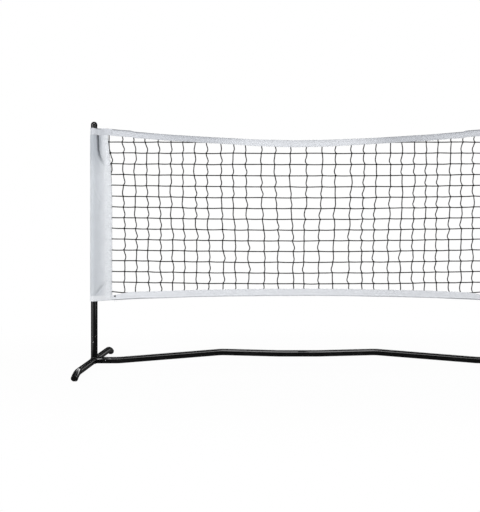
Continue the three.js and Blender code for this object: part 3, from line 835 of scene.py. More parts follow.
def bead(points, flat):
    """A rippled bead round a closed line of points."""
    shape = bmesh.new()
    girth = sum((b - a).length for a, b in zip(points, points[1:] + points[:1]))
    turns = round(girth / RIPPLE) * 2 * math.pi / len(points)

    def rippled(i):
        grain = noise.noise(points[i] * 400)
        return BEAD * (1 + RIPPLE_HEIGHT * math.sin(turns * i) + UNEVENNESS * grain)

    thread_tube(shape, points, rippled, 10, closed=True, flat=flat)
    bmesh.ops.recalc_face_normals(shape, faces=shape.faces[:])
    return shape


def ring(count, at):
    """A closed line of points, from at(angle)."""
    return [at(2 * math.pi * i / count) for i in range(count)]


def post_joint(a):
    x, y = TUBE * math.cos(a), TUBE * math.sin(a)
    out = Vector((math.cos(a), math.sin(a), 0)) * BEAD_OUT
    return Vector((x - POST_X, y, FOOT_AXIS + above_foot(x) + BEAD_UP)) + out


def rail_joint(a):
    y, rise = TUBE * math.sin(a), TUBE * math.cos(a)
    out = Vector((0, math.sin(a), math.cos(a))) * BEAD_OUT
    return Vector((clear_of_both(y, rise) + BEAD_UP - POST_X, y, FOOT_AXIS + rise)) + out


pair("post_weld", bead(ring(150, post_joint), (0, 0, 1)), black_coat, "black_coat")
pair("rail_weld", bead(ring(150, rail_joint), (1, 0, 0)), black_coat, "black_coat")
print("weld beads: 4")

# %% [markdown]
# ## Posts, caps and the base rail
# Posts and rail halves are the same tube. Where one slides into another its end is swaged, which
# means pressed narrower, and a short cone leads back to full size. The rail is arched: three
# gentle press bends lift its middle off the floor.

# %% Posts and caps
shape = bmesh.new()
pipe(shape, [
    (POST_SEAM - POST_SPIGOT, SPIGOT, SPIGOT_BORE), (POST_SEAM, SPIGOT, SPIGOT_BORE),
    (POST_SEAM, TUBE, SPIGOT_BORE), (POST_SEAM + SWAGE_CONE, TUBE, SPIGOT_BORE),
    (POST_SEAM + 2 * SWAGE_CONE, TUBE, BORE), (CAP_BASE, TUBE, BORE),
])
soften(shape, 0.4 * mm)
move(shape, lambda p: p - Vector((POST_X, 0, 0)))
posts = pair("upright_post", shape, black_coat, "black_coat", node="post_tube")
for side, way in (("left", -1), ("right", 1)):
    drill(posts[side], BUTTON_HOLE, way * POST_X, BUTTON_HEIGHT)

shape = bmesh.new()
DOME_BASE = POST_TOP - TUBE
CAP_SEAT = DOME_BASE - 3 * mm         # the cap's straight band is 3 mm high
CAP_INSERT = 16 * mm
dome = [(TUBE * math.cos(a), DOME_BASE + TUBE * math.sin(a))
        for a in steps(0, math.pi / 2, 14)[:-1]]
inside = BORE - PLUG_CLEARANCE
turn(shape, [(0, CAP_SEAT - CAP_INSERT), (inside, CAP_SEAT - CAP_INSERT), (inside, CAP_SEAT),
             (TUBE, CAP_SEAT)] + dome + [(0, POST_TOP)])
soften(shape, 0.5 * mm, segments=3)
move(shape, lambda p: p - Vector((POST_X, 0, 0)))
pair("dome_cap", shape, black_plastic, "black_plastic", node="post_cap")
print("posts and caps:", round(POST_TOP * 1000), "mm high")


# %% The rail's arch
BEND_REACH = 16 * mm                  # half the length of each press bend
RAIL_RISE, MIDDLE_RISE = 31.5 * mm, 26 * mm
PEAK_X, LEVEL_X = -295 * mm, -60 * mm - BEND_REACH
FIRST_X = RAIL_MOUTH + 12 * mm + BEND_REACH
RAIL_START = RAIL_MOUTH + GAP
UP_SLOPE = RAIL_RISE / (PEAK_X - FIRST_X)
DOWN_SLOPE = (RAIL_RISE - MIDDLE_RISE) / (LEVEL_X - PEAK_X)
BENDS = [(FIRST_X, UP_SLOPE), (PEAK_X, -UP_SLOPE - DOWN_SLOPE), (LEVEL_X, DOWN_SLOPE)]


def rise_at(x):
    """Height of the left rail's axis over the foot's axis, and its slope."""
    rise = slope = 0
    for at, change in BENDS:
        d = min(max(x - at, -BEND_REACH), BEND_REACH)
        rise += change * ((d + BEND_REACH) ** 2 / (4 * BEND_REACH) + max(x - at - BEND_REACH, 0))
        slope += change * (d + BEND_REACH) / (2 * BEND_REACH)
    return rise, slope


def onto_rail(point):
    """Puts a point of a straight tube along Z onto the left rail's axis, with z as the X place."""
    rise, slope = rise_at(point.z)
    tilt = math.atan(slope)
    up = Vector((-math.sin(tilt), 0, math.cos(tilt)))
    return Vector((point.z, point.y, FOOT_AXIS + rise)) - up * point.x


# %% Rail halves
RAIL_SPIGOT = 47 * mm                 # swaged end inside the rail socket
JOINT_SPIGOT = 50 * mm                # swaged end of the left half, inside the right half
start = [(RAIL_MOUTH - RAIL_SPIGOT, SPIGOT, SPIGOT_BORE), (RAIL_START, SPIGOT, SPIGOT_BORE),
         (RAIL_START, TUBE, SPIGOT_BORE), (RAIL_START + SWAGE_CONE, TUBE, SPIGOT_BORE),
         (RAIL_START + 2 * SWAGE_CONE, TUBE, BORE)]
bent = [(x, TUBE, BORE) for at, _ in BENDS for x in steps(at - BEND_REACH, at + BEND_REACH, 8)]
middle = -GAP / 2
swaged = [(middle - 2 * SWAGE_CONE, TUBE, BORE), (middle - SWAGE_CONE, TUBE, SPIGOT_BORE),
          (middle, TUBE, SPIGOT_BORE), (middle, SPIGOT, SPIGOT_BORE),
          (middle + JOINT_SPIGOT, SPIGOT, SPIGOT_BORE)]
for side, way, finish_of_end in (("left", -1, swaged), ("right", 1, [(middle, TUBE, BORE)])):
    shape = bmesh.new()
    pipe(shape, start + bent + finish_of_end)
    soften(shape, 0.35 * mm)
    move(shape, onto_rail)
    rail = piece(f"{side}_rail_half", shape if way < 0 else other_side(shape), black_coat,
                 "black_coat", "frame", [f"{side}_rail_tube"])
    drill(rail, BUTTON_HOLE, -way * RAIL_BUTTON_X, FOOT_AXIS)
print(f"rail peak {1000 * (FOOT_AXIS + rise_at(PEAK_X)[0]):.1f} mm, "
      f"middle {1000 * (FOOT_AXIS + rise_at(0)[0]):.1f} mm")

# %% [markdown]
# Snap buttons are small domed pins. Only a few millimetres show, but a polished dome is what
# the eye picks out on a black tube, so it is turned with a fine profile.

# %% Snap buttons
for name, node in (("post_snap_button", "post_button"), ("rail_snap_button", "rail_button")):
    low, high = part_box(f"left_{node}")
    x, z = (low.x + high.x) / 2, (low.z + high.z) / 2
    foot, tip = -high.y, -low.y
    shape = bmesh.new()
    dome = [(BUTTON * math.cos(a), tip - BUTTON * (1 - math.sin(a)))
            for a in steps(0, math.pi / 2, 8)[:-1]]
    turn(shape, [(0, foot), (BUTTON, foot)] + dome + [(0, tip)], sides=24)
    move(shape, lambda p: Vector((x + p.x, -p.z, z + p.y)))
    pair(name, shape, button_steel, "button_steel", body=node, node=node)
print("buttons: 4")

# %% [markdown]
# Inside each tube a leaf spring holds the button out. It is a strip of steel bent like a hairpin:
# one leaf lies against the back of the tube, and the other carries the button. Pressing the button
# bends the front leaf only. The CAD node's own shape is right, so a copy of it is merged, and its
# edges are rounded.

# %% Leaf springs
LEAF_ROOT = 2 * mm                    # Y where the front leaf starts to follow its button
LEAF_TIP = -7.5 * mm                  # Y where it follows fully

for place in ("post", "rail"):
    for side in ("left", "right"):
        node = f"{side}_{place}_spring"
        shape = bmesh.new()
        shape.from_mesh(frame["nodes"][node].data)
        bmesh.ops.remove_doubles(shape, verts=shape.verts[:], dist=0.001 * mm)
        bmesh.ops.dissolve_limit(shape, angle_limit=math.radians(1), verts=shape.verts[:],
                                 edges=shape.edges[:])
        soften(shape, 0.15 * mm)
        spring = piece(f"{side}_{place}_leaf_spring", shape, spring_steel, "spring_steel",
                       replaces=[node])
        low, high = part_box(node)
        root = Vector(((low.x + high.x) / 2, LEAF_ROOT, (low.z + high.z) / 2))
        tip = Vector((root.x, LEAF_TIP, root.z))
        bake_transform(spring)
print("leaf springs: 4")

# %% [markdown]
# ## The net's edges
# The top edge sags between the posts and the hem bows up a little in the middle. Both curves
# are used by the sleeves, the tapes, the cords and the twine, so they are written once.

# %% The two edges
NET_SAG = 45.7 * mm
SAG_POWER = 1.6
HEM_RISE = 19.6 * mm
HEM_POWER = 2
TOP_TAPE = 25.4 * mm
BOTTOM_TAPE = 27.5 * mm
SHOULDER = 3.4 * mm                   # extra height where the sewn end of the tape is stiffer
SHOULDER_RISE = (0.628, 0.646)        # distances from the middle over which it comes and goes
SHOULDER_FALL = (POST_X - 50 * mm, POST_X - 16 * mm)


def swell(value, low, high):
    """0 below low, 1 above high, and a smooth step between them."""
    share = min(max((value - low) / (high - low), 0), 1)
    return share * share * (3 - 2 * share)


def top_edge(x):
    stiff = swell(abs(x), *SHOULDER_RISE) - swell(abs(x), *SHOULDER_FALL)
    return NET_TOP - NET_SAG * (1 - min(abs(x) / POST_X, 1) ** SAG_POWER) + SHOULDER * stiff


def hem_edge(x):
    return HEM + HEM_RISE * (1 - min(abs(x) / POST_X, 1) ** HEM_POWER)


print(f"net: {top_edge(0) * 1000:.0f} mm high in the middle, hem {hem_edge(0) * 1000:.0f} mm")

# %% [markdown]
# ## Cloth round a post
# A sleeve is one piece of cloth that goes round the post and is sewn to itself. A flat grid is
# wrapped onto that path and then gets its folds. Cloth simulation was weighed up: these sleeves
# are stretched tight, so what shows is their seams, creases and puckers, and those are placed
# exactly. Solidify gives the cloth its thickness at the end, so both faces share the folds.

# %% The path round the post
CLOTH = 0.9 * mm
SEAM = 40 * mm                        # from the post axis to the seam that closes the sleeve
WRAP = TUBE + 0.8 * mm + CLOTH / 2    # radius of the cloth's middle line round the post
SLEEVE_GAP = 1.4 * mm + CLOTH / 2     # half the distance between the flap's two layers
LOOP_GAP = 2.3 * mm + CLOTH / 2       # the same in the tape's loop, round its cord


def wrap_lengths(gap):
    """Lengths of the arc and of the straight to the seam, on one side, and where they touch."""
    reach = math.hypot(SEAM, gap)
    touch = math.atan2(gap, SEAM) + math.acos(WRAP / reach)
    return WRAP * (math.pi - touch), math.sqrt(reach ** 2 - WRAP ** 2), touch


def half_width(gap, flap):
    """Cloth from the middle of the post's outer side to the edge of a flap, on one side."""
    arc, straight, _ = wrap_lengths(gap)
    return arc + straight + flap - SEAM


def wrap(distance, gap):
    """A point of the cloth seen from above, at a distance from the post's outer side, and which
    way is out. A negative distance is on the front."""
    arc, straight, touch = wrap_lengths(gap)
    way = -1 if distance < 0 else 1
    d = abs(distance)
    if d < arc:
        angle = math.pi - d / WRAP
        out = (math.cos(angle), math.sin(angle))
        x, y = WRAP * out[0], WRAP * out[1]
    elif d < arc + straight:
        share = (d - arc) / straight
        x = WRAP * math.cos(touch) * (1 - share) + SEAM * share
        y = WRAP * math.sin(touch) * (1 - share) + gap * share
        out = (math.cos(touch), math.sin(touch))
    else:
        x, y, out = SEAM + d - arc - straight, gap, (0, 1)
    return x, way * y, out[0], way * out[1]


# %% The sleeve's outline and folds
FLAP_TOP, FLAP = 51.5 * mm, 68 * mm   # from the post axis to the flap's edge, at the top and below
FLARE = 266 * mm                      # height over which the flap widens
SLEEVE_LENGTH = SLEEVE_TOP - HEM
CLOSING_ROW = SEAM + 3 * mm           # stitches that close the sleeve, from the post axis
EDGE_SEAM = 5 * mm                    # stitches in from the flap's edge


def flap_at(height):
    share = min((SLEEVE_TOP - height) / FLARE, 1)
    return FLAP_TOP + (FLAP - FLAP_TOP) * (1 - (1 - share) ** 2)


def groove(x, z, line, width):
    """1 on a line of (x, z, strength) points, fading to 0 within a few widths of it."""
    best = 0
    for (x0, z0, s0), (x1, z1, s1) in zip(line, line[1:]):
        dx, dz = x1 - x0, z1 - z0
        share = min(max(((x - x0) * dx + (z - z0) * dz) / (dx * dx + dz * dz), 0), 1)
        away = math.hypot(x - x0 - dx * share, z - z0 - dz * share)
        best = max(best, (s0 + (s1 - s0) * share) * math.exp(-(away / width) ** 2))
    return best


TOP_CREASE = [(16.5 * mm, SLEEVE_TOP + 2 * mm, 1), (18.4 * mm, 0.860, 1),
              (19.0 * mm, 0.832, 0.9), (22.5 * mm, 0.812, 0.75), (30 * mm, 0.792, 0.5),
              (41 * mm, 0.772, 0.15)]
HEM_CREASE = [(8 * mm, 0.276, 0.4), (20 * mm, 0.292, 0.9), (29 * mm, 0.3035, 1),
              (36 * mm, 0.312, 0.3), (50 * mm, 0.3295, 0.0)]
SIDE_CREASE = [(-4 * mm, 0.700, 0.1), (6 * mm, 0.676, 0.7), (22 * mm, 0.640, 0.5),
               (34 * mm, 0.622, 0.1)]
# Each crease with its depth and its width in mm.
CREASES = ((TOP_CREASE, 7.4, 3.4), (HEM_CREASE, 3.2, 4.2), (SIDE_CREASE, 0.9, 4.0))
BACK_CREASE = 0.6                     # depth of a crease on the back, as a share of the front's
PUCKER = 9 * mm                       # from one pucker along a seam to the next
ROW_TOP = top_edge(0) - 7.3 * mm      # height of the twine's highest row
ROW_PITCH = 41.25 * mm


def sleeve_relief(x, z, front):
    """How far the cloth stands out of its smooth path, at x from the post axis and height z."""
    side = 0 if front else 40
    flat = swell(x, 6 * mm, 22 * mm)
    loose = 0.8 * mm * swell(-x, 0, 10 * mm)
    soft = noise.noise(Vector((x * 55 + side, z * 17, 1))) * 0.9 * mm
    buckle = noise.noise(Vector((x * 30 + side, z * 60, 7))) * 0.55 * mm
    relief = loose + flat * (soft + buckle) + (1 - flat) * 0.25 * soft
    for line, depth, width in CREASES:
        strength = depth * mm * (1 if front else BACK_CREASE)
        relief -= strength * groove(x, z, line, width * mm)
        relief += 0.35 * strength * groove(x - 5 * mm, z, line, width * mm)
    pucker = math.sin(z * 2 * math.pi / PUCKER + 2.2 * noise.noise(Vector((z * 40, side, 3))))
    for seam in (CLOSING_ROW, flap_at(z) - EDGE_SEAM):
        relief += 0.22 * mm * pucker * math.exp(-((x - seam) / (6 * mm)) ** 2)
        relief -= 0.35 * mm * math.exp(-((x - seam) / (1.5 * mm)) ** 2)

    # The twine in the flap shows: its rows, and near the flap's edge the last strand and knots.
    row = math.cos((z - ROW_TOP) * 2 * math.pi / ROW_PITCH)
    over_rows = swell(x, SEAM - 5 * mm, SEAM - mm)
    over_strand = swell(x - flap_at(z), -14 * mm, -8 * mm)
    relief += 0.5 * mm * over_rows * swell(row, 0.93, 1.0)
    relief += over_strand * mm * (0.6 + 1.5 * swell(row, 0.65, 0.95))
    fold = swell(HEM + HEM_FOLD - z, -0.8 * mm, 0.8 * mm)
    return relief + 0.75 * mm * fold + 0.25 * mm * fold * pucker


def sleeve_point(u, v, lift=0.0):
    """The cloth's point u across (0 and 1 are the flap's edges) and v up, lifted outwards."""
    height = HEM + v * SLEEVE_LENGTH
    half = half_width(SLEEVE_GAP, flap_at(height))
    x, y, out_x, out_y = wrap((2 * u - 1) * half, SLEEVE_GAP)
    z = height + v * (top_edge(POST_X - x) - NET_TOP) + (1 - v) * (hem_edge(POST_X - x) - HEM)
    relief = sleeve_relief(x, height, u < 0.5) + lift
    return Vector((x - POST_X + out_x * relief, y + out_y * relief, z))


# %% A cloth from a flat grid
def cloth(columns, rows, width, length, place):
    """A grid laid out by place(u, v), with a UV map in metres of cloth."""
    shape = bmesh.new()
    bmesh.ops.create_grid(shape, x_segments=columns, y_segments=rows, size=0.5, calc_uvs=True)
    uv = shape.loops.layers.uv.verify()
    for face in shape.faces:
        for loop in face.loops:
            loop[uv].uv = ((loop.vert.co.x + 0.5) * width, (loop.vert.co.y + 0.5) * length)
    move(shape, lambda p: place(p.x + 0.5, p.y + 0.5))
    return shape


def thicken(made, thickness):
    """Gives a sheet its thickness on both sides of its middle line."""
    solid = made.modifiers.new("thickness", "SOLIDIFY")
    solid.thickness, solid.offset, solid.use_even_offset = thickness, 0, False
    apply_modifiers(made)
    made.data.shade_smooth()
    made.data.set_sharp_from_angle(angle=math.radians(SMOOTH_ANGLE))


def sheet_area(shape):
    return sum(face.calc_area() for face in shape.faces)


# %% Sleeves
def note_folds(shape):
    """Keeps each point's distance from the post, and how deep in a crease it lies, which sets the
    painted shade there.
    """
    from_post = shape.verts.layers.float.new("from_post")
    fold_soil = shape.verts.layers.float.new("fold_soil")
    for vert in shape.verts:
        x = vert.co.x + POST_X
        vert[from_post] = x
        if vert.co.y < 0:
            vert[fold_soil] = max(groove(x, vert.co.z, TOP_CREASE, 4.6 * mm),
                                  0.4 * groove(x, vert.co.z, HEM_CREASE, 3.2 * mm))


SLEEVE_WIDTH = 2 * half_width(SLEEVE_GAP, FLAP)
shape = cloth(116, 210, SLEEVE_WIDTH, SLEEVE_LENGTH, sleeve_point)
note_folds(shape)
print(f"sleeve cut {SLEEVE_WIDTH * 1000:.0f} x {SLEEVE_LENGTH * 1000:.0f} mm, "
      f"area {sheet_area(shape):.4f} m2")
sleeves = pair("cloth_sleeve", shape, sleeve_cloth, "sleeve_cloth", body="net", node="sleeve")
for made in sleeves.values():
    thicken(made, CLOTH)

# %% [markdown]
# The tape's end loops are the same cloth path, only 25 mm high and a little wider apart, because
# the cord ends between their layers. They are painted a darker copy of the tape's colour, which is
# painted shade, with more painted shade along the top edge beside the post, so they get a tape
# cloth of their own. The same numbers kept at their points as for a sleeve say where.

# %% End loops of the top tape
LOOP_WIDTH = 2 * half_width(LOOP_GAP, FLAP)
LOOP_PINCH = [(15 * mm, NET_TOP - TOP_TAPE, 1), (17 * mm, NET_TOP - 6 * mm, 0.2)]


def loop_relief(x, z, front):
    """How far the loop stands out of its smooth path. It is pinched beside the post."""
    side = 0 if front else 30
    soft = noise.noise(Vector((x * 50 + side, z * 60, 11))) * 0.5 * mm * swell(x, 4 * mm, 20 * mm)
    pinch = 1.5 * mm * groove(x, z, LOOP_PINCH, 2.4 * mm)
    return soft - pinch * (1 if front else 0.5)


def loop_point(u, v, lift=0.0):
    x, y, out_x, out_y = wrap((u - 0.5) * LOOP_WIDTH, LOOP_GAP)
    z = top_edge(POST_X - x) - TOP_TAPE * (1 - v)
    relief = loop_relief(x, z, u < 0.5) + lift
    return Vector((x - POST_X + out_x * relief, y + out_y * relief, z))


# %% The loops' finish, with painted shade near the post at the top and speckled towards the net
# Painted shade: a darker copy of the top tape's colour.
loop_tape, plain, loop_cloth = woven("white_loop_tape", (0.58, 0.60, 0.64, 1),
                                     0.7 * mm, 0.08 * mm, 0.45, 0.93)
_, up, _ = loop_tape.split(loop_tape.place("UV"))
across = loop_tape.add("ShaderNodeAttribute", {"attribute_name": "from_post"}, output="Fac")
corner = 1 - (across - 18 * mm).size().ramp(7 * mm, 15 * mm)
# Painted shade along the top edge beside the post.
rubbed = up.ramp(TOP_TAPE - 5 * mm, TOP_TAPE - 2 * mm) * corner
mottle = loop_tape.speckle(loop_tape.place("Object"), 260, detail=2.0).ramp(0.5, 0.65)
mottle = mottle * across.ramp(8 * mm, 24 * mm)
used = loop_tape.blend(mottle * 0.3, plain, (0.40, 0.42, 0.45, 1))
set_surface(loop_tape, colour=loop_tape.blend(rubbed * 0.85, used, TAPE_LINE))

# %% The loops
shape = cloth(110, 14, LOOP_WIDTH, TOP_TAPE, loop_point)
note_folds(shape)
print(f"loop cut {LOOP_WIDTH * 1000:.0f} x {TOP_TAPE * 1000:.0f} mm, "
      f"area {sheet_area(shape):.4f} m2")
loops = pair("head_tape_loop", shape, loop_cloth, "tape_cloth", body="net", node="tape_loop")
for made in loops.values():
    thicken(made, CLOTH)

# %% [markdown]
# ## Tapes along the net
# Each tape is folded over a cord and sewn through both layers, with the net between them. In
# cross-section that is a short line with a round bend in its middle. The grid's first direction
# follows it, and its second runs along the net's edge.


# %% The folded cross-section
class Outline:
    """A line of flat points that can be read at any distance along it."""

    def __init__(self, points):
        self.points = [Vector(p) for p in points]
        self.marks = [0.0]
        for a, b in zip(self.points, self.points[1:]):
            self.marks.append(self.marks[-1] + (b - a).length)
        self.length = self.marks[-1]

    def at(self, distance):
        distance = min(max(distance, 0), self.length)
        i = max(j for j, mark in enumerate(self.marks[:-1]) if mark <= distance)
        share = (distance - self.marks[i]) / (self.marks[i + 1] - self.marks[i])
        return self.points[i].lerp(self.points[i + 1], share)

    def out(self, distance):
        along = self.at(distance + 0.3 * mm) - self.at(distance - 0.3 * mm)
        return Vector((-along.y, along.x)).normalized()


FOLD = 3.2 * mm                       # outer radius of the fold round the cord
FOLD_MIDDLE = FOLD - CLOTH / 2
TAPER = 9 * mm                        # depth over which the fold narrows to the net
SEAM_ROW = 11 * mm                    # row of stitches under the cord
TAPE_PUCKER = 11 * mm                 # from one pucker along that row to the next


def folded(width):
    """Front layer up, over the cord and down the back, as (y, z) with the fold's top at z = 0."""
    bend = [(-FOLD_MIDDLE * math.cos(a), -FOLD + FOLD_MIDDLE * math.sin(a))
            for a in steps(0, math.pi, 12)]
    return Outline([(-SLEEVE_GAP, -width), (-SLEEVE_GAP, -TAPER)] + bend
                   + [(SLEEVE_GAP, -TAPER), (SLEEVE_GAP, -width)])


def tape_point(outline, edge, updown, phase):
    """Returns place(u, v, lift): u across the folded tape and v along the net from left to right.
    updown is 1 for the top tape and -1 for the bottom tape, whose fold is below."""
    def place(u, v, lift=0.0):
        x = (2 * v - 1) * BAND_HALF
        d = u * outline.length
        spot, out = outline.at(d), outline.out(d)
        depth = -spot.y
        loose = swell(depth, TAPER, TAPER + 12 * mm)
        side = phase + (0 if u < 0.5 else 20)
        pucker = math.sin(x * 2 * math.pi / TAPE_PUCKER) * 0.06 * mm
        ripple = noise.noise(Vector((x * 28, side, 2))) * 0.35 * mm + pucker
        wave = noise.noise(Vector((x * 9, phase, 5))) * 0.9 * mm
        wave += noise.noise(Vector((x * 31, phase, 6))) * 0.3 * mm
        seam = -0.3 * mm * math.exp(-((depth - SEAM_ROW) / (1.4 * mm)) ** 2)
        relief = loose * ripple + seam + lift
        end = swell(BAND_HALF - abs(x), 0, 30 * mm)
        if updown > 0:
            narrower = 0.13 * swell(abs(x), 0.06, 0.30)
            curl = 1 + end * (0.05 - narrower + 0.08 * swell(abs(x), 0.58, 0.68))
        else:
            curl = 1 - 0.3 * swell(abs(x), BAND_HALF - 70 * mm, BAND_HALF)
        return Vector((x, spot.x + out.x * relief,
                       edge(x) + updown * (spot.y * curl + out.y * relief) + wave * end))
    return place


TOP_FOLD, BOTTOM_FOLD = folded(TOP_TAPE), folded(BOTTOM_TAPE)
print(f"tapes are {TOP_FOLD.length * 1000:.1f} and {BOTTOM_FOLD.length * 1000:.1f} mm wide, "
      "unfolded")

# %% The tapes
tapes, tape_places = {}, {}
for name, node, outline, edge, updown, phase, colour, handled in (
        ("top_tape", "top_band", TOP_FOLD, top_edge, 1, 50, (0.74, 0.76, 0.80, 1), 1.0),
        ("bottom_tape", "bottom_band", BOTTOM_FOLD, hem_edge, -1, 90, (0.80, 0.82, 0.86, 1), 0.1)):
    tape_cloth = taped(f"white_{name}", colour, outline.length, 2 * BAND_HALF, handled)
    place = tape_places[name] = tape_point(outline, edge, updown, phase)
    shape = cloth(28, 420, outline.length, 2 * BAND_HALF, place)
    if updown < 0:
        bmesh.ops.reverse_faces(shape, faces=shape.faces[:])
    print(f"{name} cut {outline.length * 1000:.0f} x {2 * BAND_HALF * 1000:.0f} mm, "
          f"area {sheet_area(shape):.4f} m2")
    tapes[name] = piece(name, shape, tape_cloth, "tape_cloth", "net", [node])
    thicken(tapes[name], CLOTH)

# %% Eyelets, and the holes for them
EYELET_FLANGE, EYELET_BARREL, EYELET_BORE, EYELET_LIP = 3.7 * mm, 2.6 * mm, 1.6 * mm, 0.6 * mm
low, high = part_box("left_eyelet")
EYELET_X, EYELET_Z, EYELET_FACE = (low.x + high.x) / 2, (low.z + high.z) / 2, high.y - EYELET_LIP
for way in (1, -1):
    drill(tapes["bottom_tape"], EYELET_BARREL + GAP, way * EYELET_X, EYELET_Z,
          depth=(-10 * mm, 10 * mm))
shape = bmesh.new()
lip = EYELET_FACE + EYELET_LIP
turn(shape, [(EYELET_BORE, -lip), (EYELET_FLANGE, -lip), (EYELET_FLANGE, -EYELET_FACE),
             (EYELET_BARREL, -EYELET_FACE), (EYELET_BARREL, EYELET_FACE),
             (EYELET_FLANGE, EYELET_FACE), (EYELET_FLANGE, lip), (EYELET_BORE, lip)],
     sides=28, closed=True)
soften(shape, 0.25 * mm, segments=2)
move(shape, lambda p: Vector((EYELET_X + p.x, -p.z, EYELET_Z + p.y)))
pair("hem_eyelet", shape, eyelet_metal, "eyelet_metal", body="net", node="eyelet")
print("eyelets at", round(EYELET_X * 1000), round(EYELET_Z * 1000))

# %% [markdown]
# The head cord and the foot cord lie hidden in the tapes' folds, so a finer model of their braid
# would never be seen. The CAD's own solids stand for them here and only get the braided finish.

# %% The edge cords' finish
for node in ("top_cord", "bottom_cord"):
    frame["nodes"][node].material_slots[0].material = edge_cord
print("edge cords wear:", edge_cord.name)

# %% [markdown]
# ## Stitching
# Thousands of stitches hold the cloth. One stitch is a tiny stretched ball of a few dozen faces.
# An Array modifier repeats it into a straight row, and the row is then laid onto the cloth through
# the same function that shaped the cloth, so that each stitch sits in its own pucker.

# %% Rows of stitches
STITCH, STITCH_PITCH, THREAD = 3.0 * mm, 4.1 * mm, 0.42 * mm    # THREAD is a radius
ROW_MARGIN = 3 * mm                   # a row of stitches stops this far from the cloth's edges


def stitch_row(shape, length, lay):
    """Adds a row of stitches to a shape. lay(along, across, lift) puts a point on the cloth."""
    one = bmesh.new()
    bmesh.ops.create_uvsphere(one, u_segments=6, v_segments=4, radius=1)
    bmesh.ops.scale(one, vec=(STITCH / 2, THREAD, THREAD), verts=one.verts[:])
    bmesh.ops.translate(one, vec=(STITCH_PITCH / 2, 0, 0), verts=one.verts[:])
    mesh = bpy.data.meshes.new("stitch")
    one.to_mesh(mesh)
    one.free()
    row = bpy.data.objects.new("stitch", mesh)
    scene.collection.objects.link(row)
    repeat = row.modifiers.new("row", "ARRAY")
    repeat.count = int(length / STITCH_PITCH)
    start = (length - repeat.count * STITCH_PITCH) / 2
    repeat.use_relative_offset, repeat.use_constant_offset = False, True
    repeat.constant_offset_displace = (STITCH_PITCH, 0, 0)
    apply_modifiers(row)
    line = bmesh.new()
    line.from_mesh(row.data)
    move(line, lambda p: lay(start + p.x, p.y, p.z))
    line.to_mesh(row.data)
    line.free()
    shape.from_mesh(row.data)
    bpy.data.objects.remove(row)


def sewn(shape):
    """Turns every stitch of a finished shape outwards."""
    bmesh.ops.recalc_face_normals(shape, faces=shape.faces[:])
    return shape


# %% Stitches of the sleeves
def sleeve_spot(x, z, way, lift):
    """A point on the sleeve's flap, x from the post axis, at height z, on the front or the back."""
    u = 0.5 + way * half_width(SLEEVE_GAP, x) / (2 * half_width(SLEEVE_GAP, flap_at(z)))
    return sleeve_point(u, (z - HEM) / SLEEVE_LENGTH, lift)


shape = bmesh.new()
for way in (-1, 1):
    for seam_at in (lambda z: CLOSING_ROW, lambda z: flap_at(z) - EDGE_SEAM):
        stitch_row(shape, SLEEVE_LENGTH - 2 * ROW_MARGIN,
                   lambda s, t, h, way=way, seam_at=seam_at: sleeve_spot(
                       seam_at(HEM + ROW_MARGIN + s) + t, HEM + ROW_MARGIN + s, way, CLOTH / 2 + h))
HEM_ROW = (HEM_FOLD - 2.2 * mm) / SLEEVE_LENGTH
stitch_row(shape, SLEEVE_WIDTH - 2 * ROW_MARGIN,
           lambda s, t, h: sleeve_point(
               (ROW_MARGIN + s) / SLEEVE_WIDTH, HEM_ROW + t / SLEEVE_LENGTH, CLOTH / 2 + h))
sleeve_stitches = pair("sleeve_stitches", sewn(shape), sewing_thread, "sleeve_cloth", body="net")

# %% Stitches of the tape's end loops
LOOP_LEVEL_ROWS = (2.6 * mm, TOP_TAPE - 2.6 * mm)    # from the lower edge
LOOP_UPRIGHT_ROWS = (3 * mm, 25 * mm)                # from each end of the cloth
shape = bmesh.new()
for at in LOOP_LEVEL_ROWS:
    stitch_row(shape, LOOP_WIDTH - 2 * ROW_MARGIN,
               lambda s, t, h, at=at: loop_point(
                   (ROW_MARGIN + s) / LOOP_WIDTH, (at + t) / TOP_TAPE, CLOTH / 2 + h))
for from_end in LOOP_UPRIGHT_ROWS:
    for way in (-1, 1):
        at = 0.5 + way * (0.5 - from_end / LOOP_WIDTH)
        stitch_row(shape, TOP_TAPE - 2 * ROW_MARGIN,
                   lambda s, t, h, at=at: loop_point(
                       at + t / LOOP_WIDTH, (ROW_MARGIN + s) / TOP_TAPE, CLOTH / 2 + h))
loop_stitches = pair("loop_stitches", sewn(shape), sewing_thread, "tape_cloth", body="net")

# %% Stitches of the tapes
TAPE_EDGE_ROW = 3 * mm                # from the cloth's edge
tape_stitches = {}
for name, outline, width in (("top_tape", TOP_FOLD, TOP_TAPE),
                             ("bottom_tape", BOTTOM_FOLD, BOTTOM_TAPE)):
    shape = bmesh.new()
    place = tape_places[name]
    under_cord = width - SEAM_ROW     # also measured along the cloth from its edge
    for from_edge in (TAPE_EDGE_ROW, under_cord):
        for at in (from_edge, outline.length - from_edge):
            stitch_row(shape, 2 * BAND_HALF - 2 * ROW_MARGIN,
                       lambda s, t, h, at=at, place=place, length=outline.length: place(
                           (at + t) / length, (ROW_MARGIN + s) / (2 * BAND_HALF), CLOTH / 2 + h))
    tape_stitches[name] = piece(f"{name}_stitches", sewn(shape), sewing_thread, "tape_cloth", "net")
rows_made = [*sleeve_stitches.values(), *tape_stitches.values()]
print("stitches:", {row.name: len(row.data.polygons) // 24 for row in rows_made})

# %% [markdown]
# ## The net
# The net is twine knotted at every crossing. The rows run nearly straight, because the posts
# pull on them, while the upright strands hang slack: each one bows sideways between its knots and
# hooks back at the next. As a whole, each column also swings a little outwards in its upper half
# and inwards in its lower half. A tidy grid would look like wire fencing, so every knot is a
# little off its place and every bow has its own size. The strands could also be left to hang in a
# simulation, but the size of their bows couldn't be set then. The numbers come from a seeded
# generator, so the net is the same on each run.

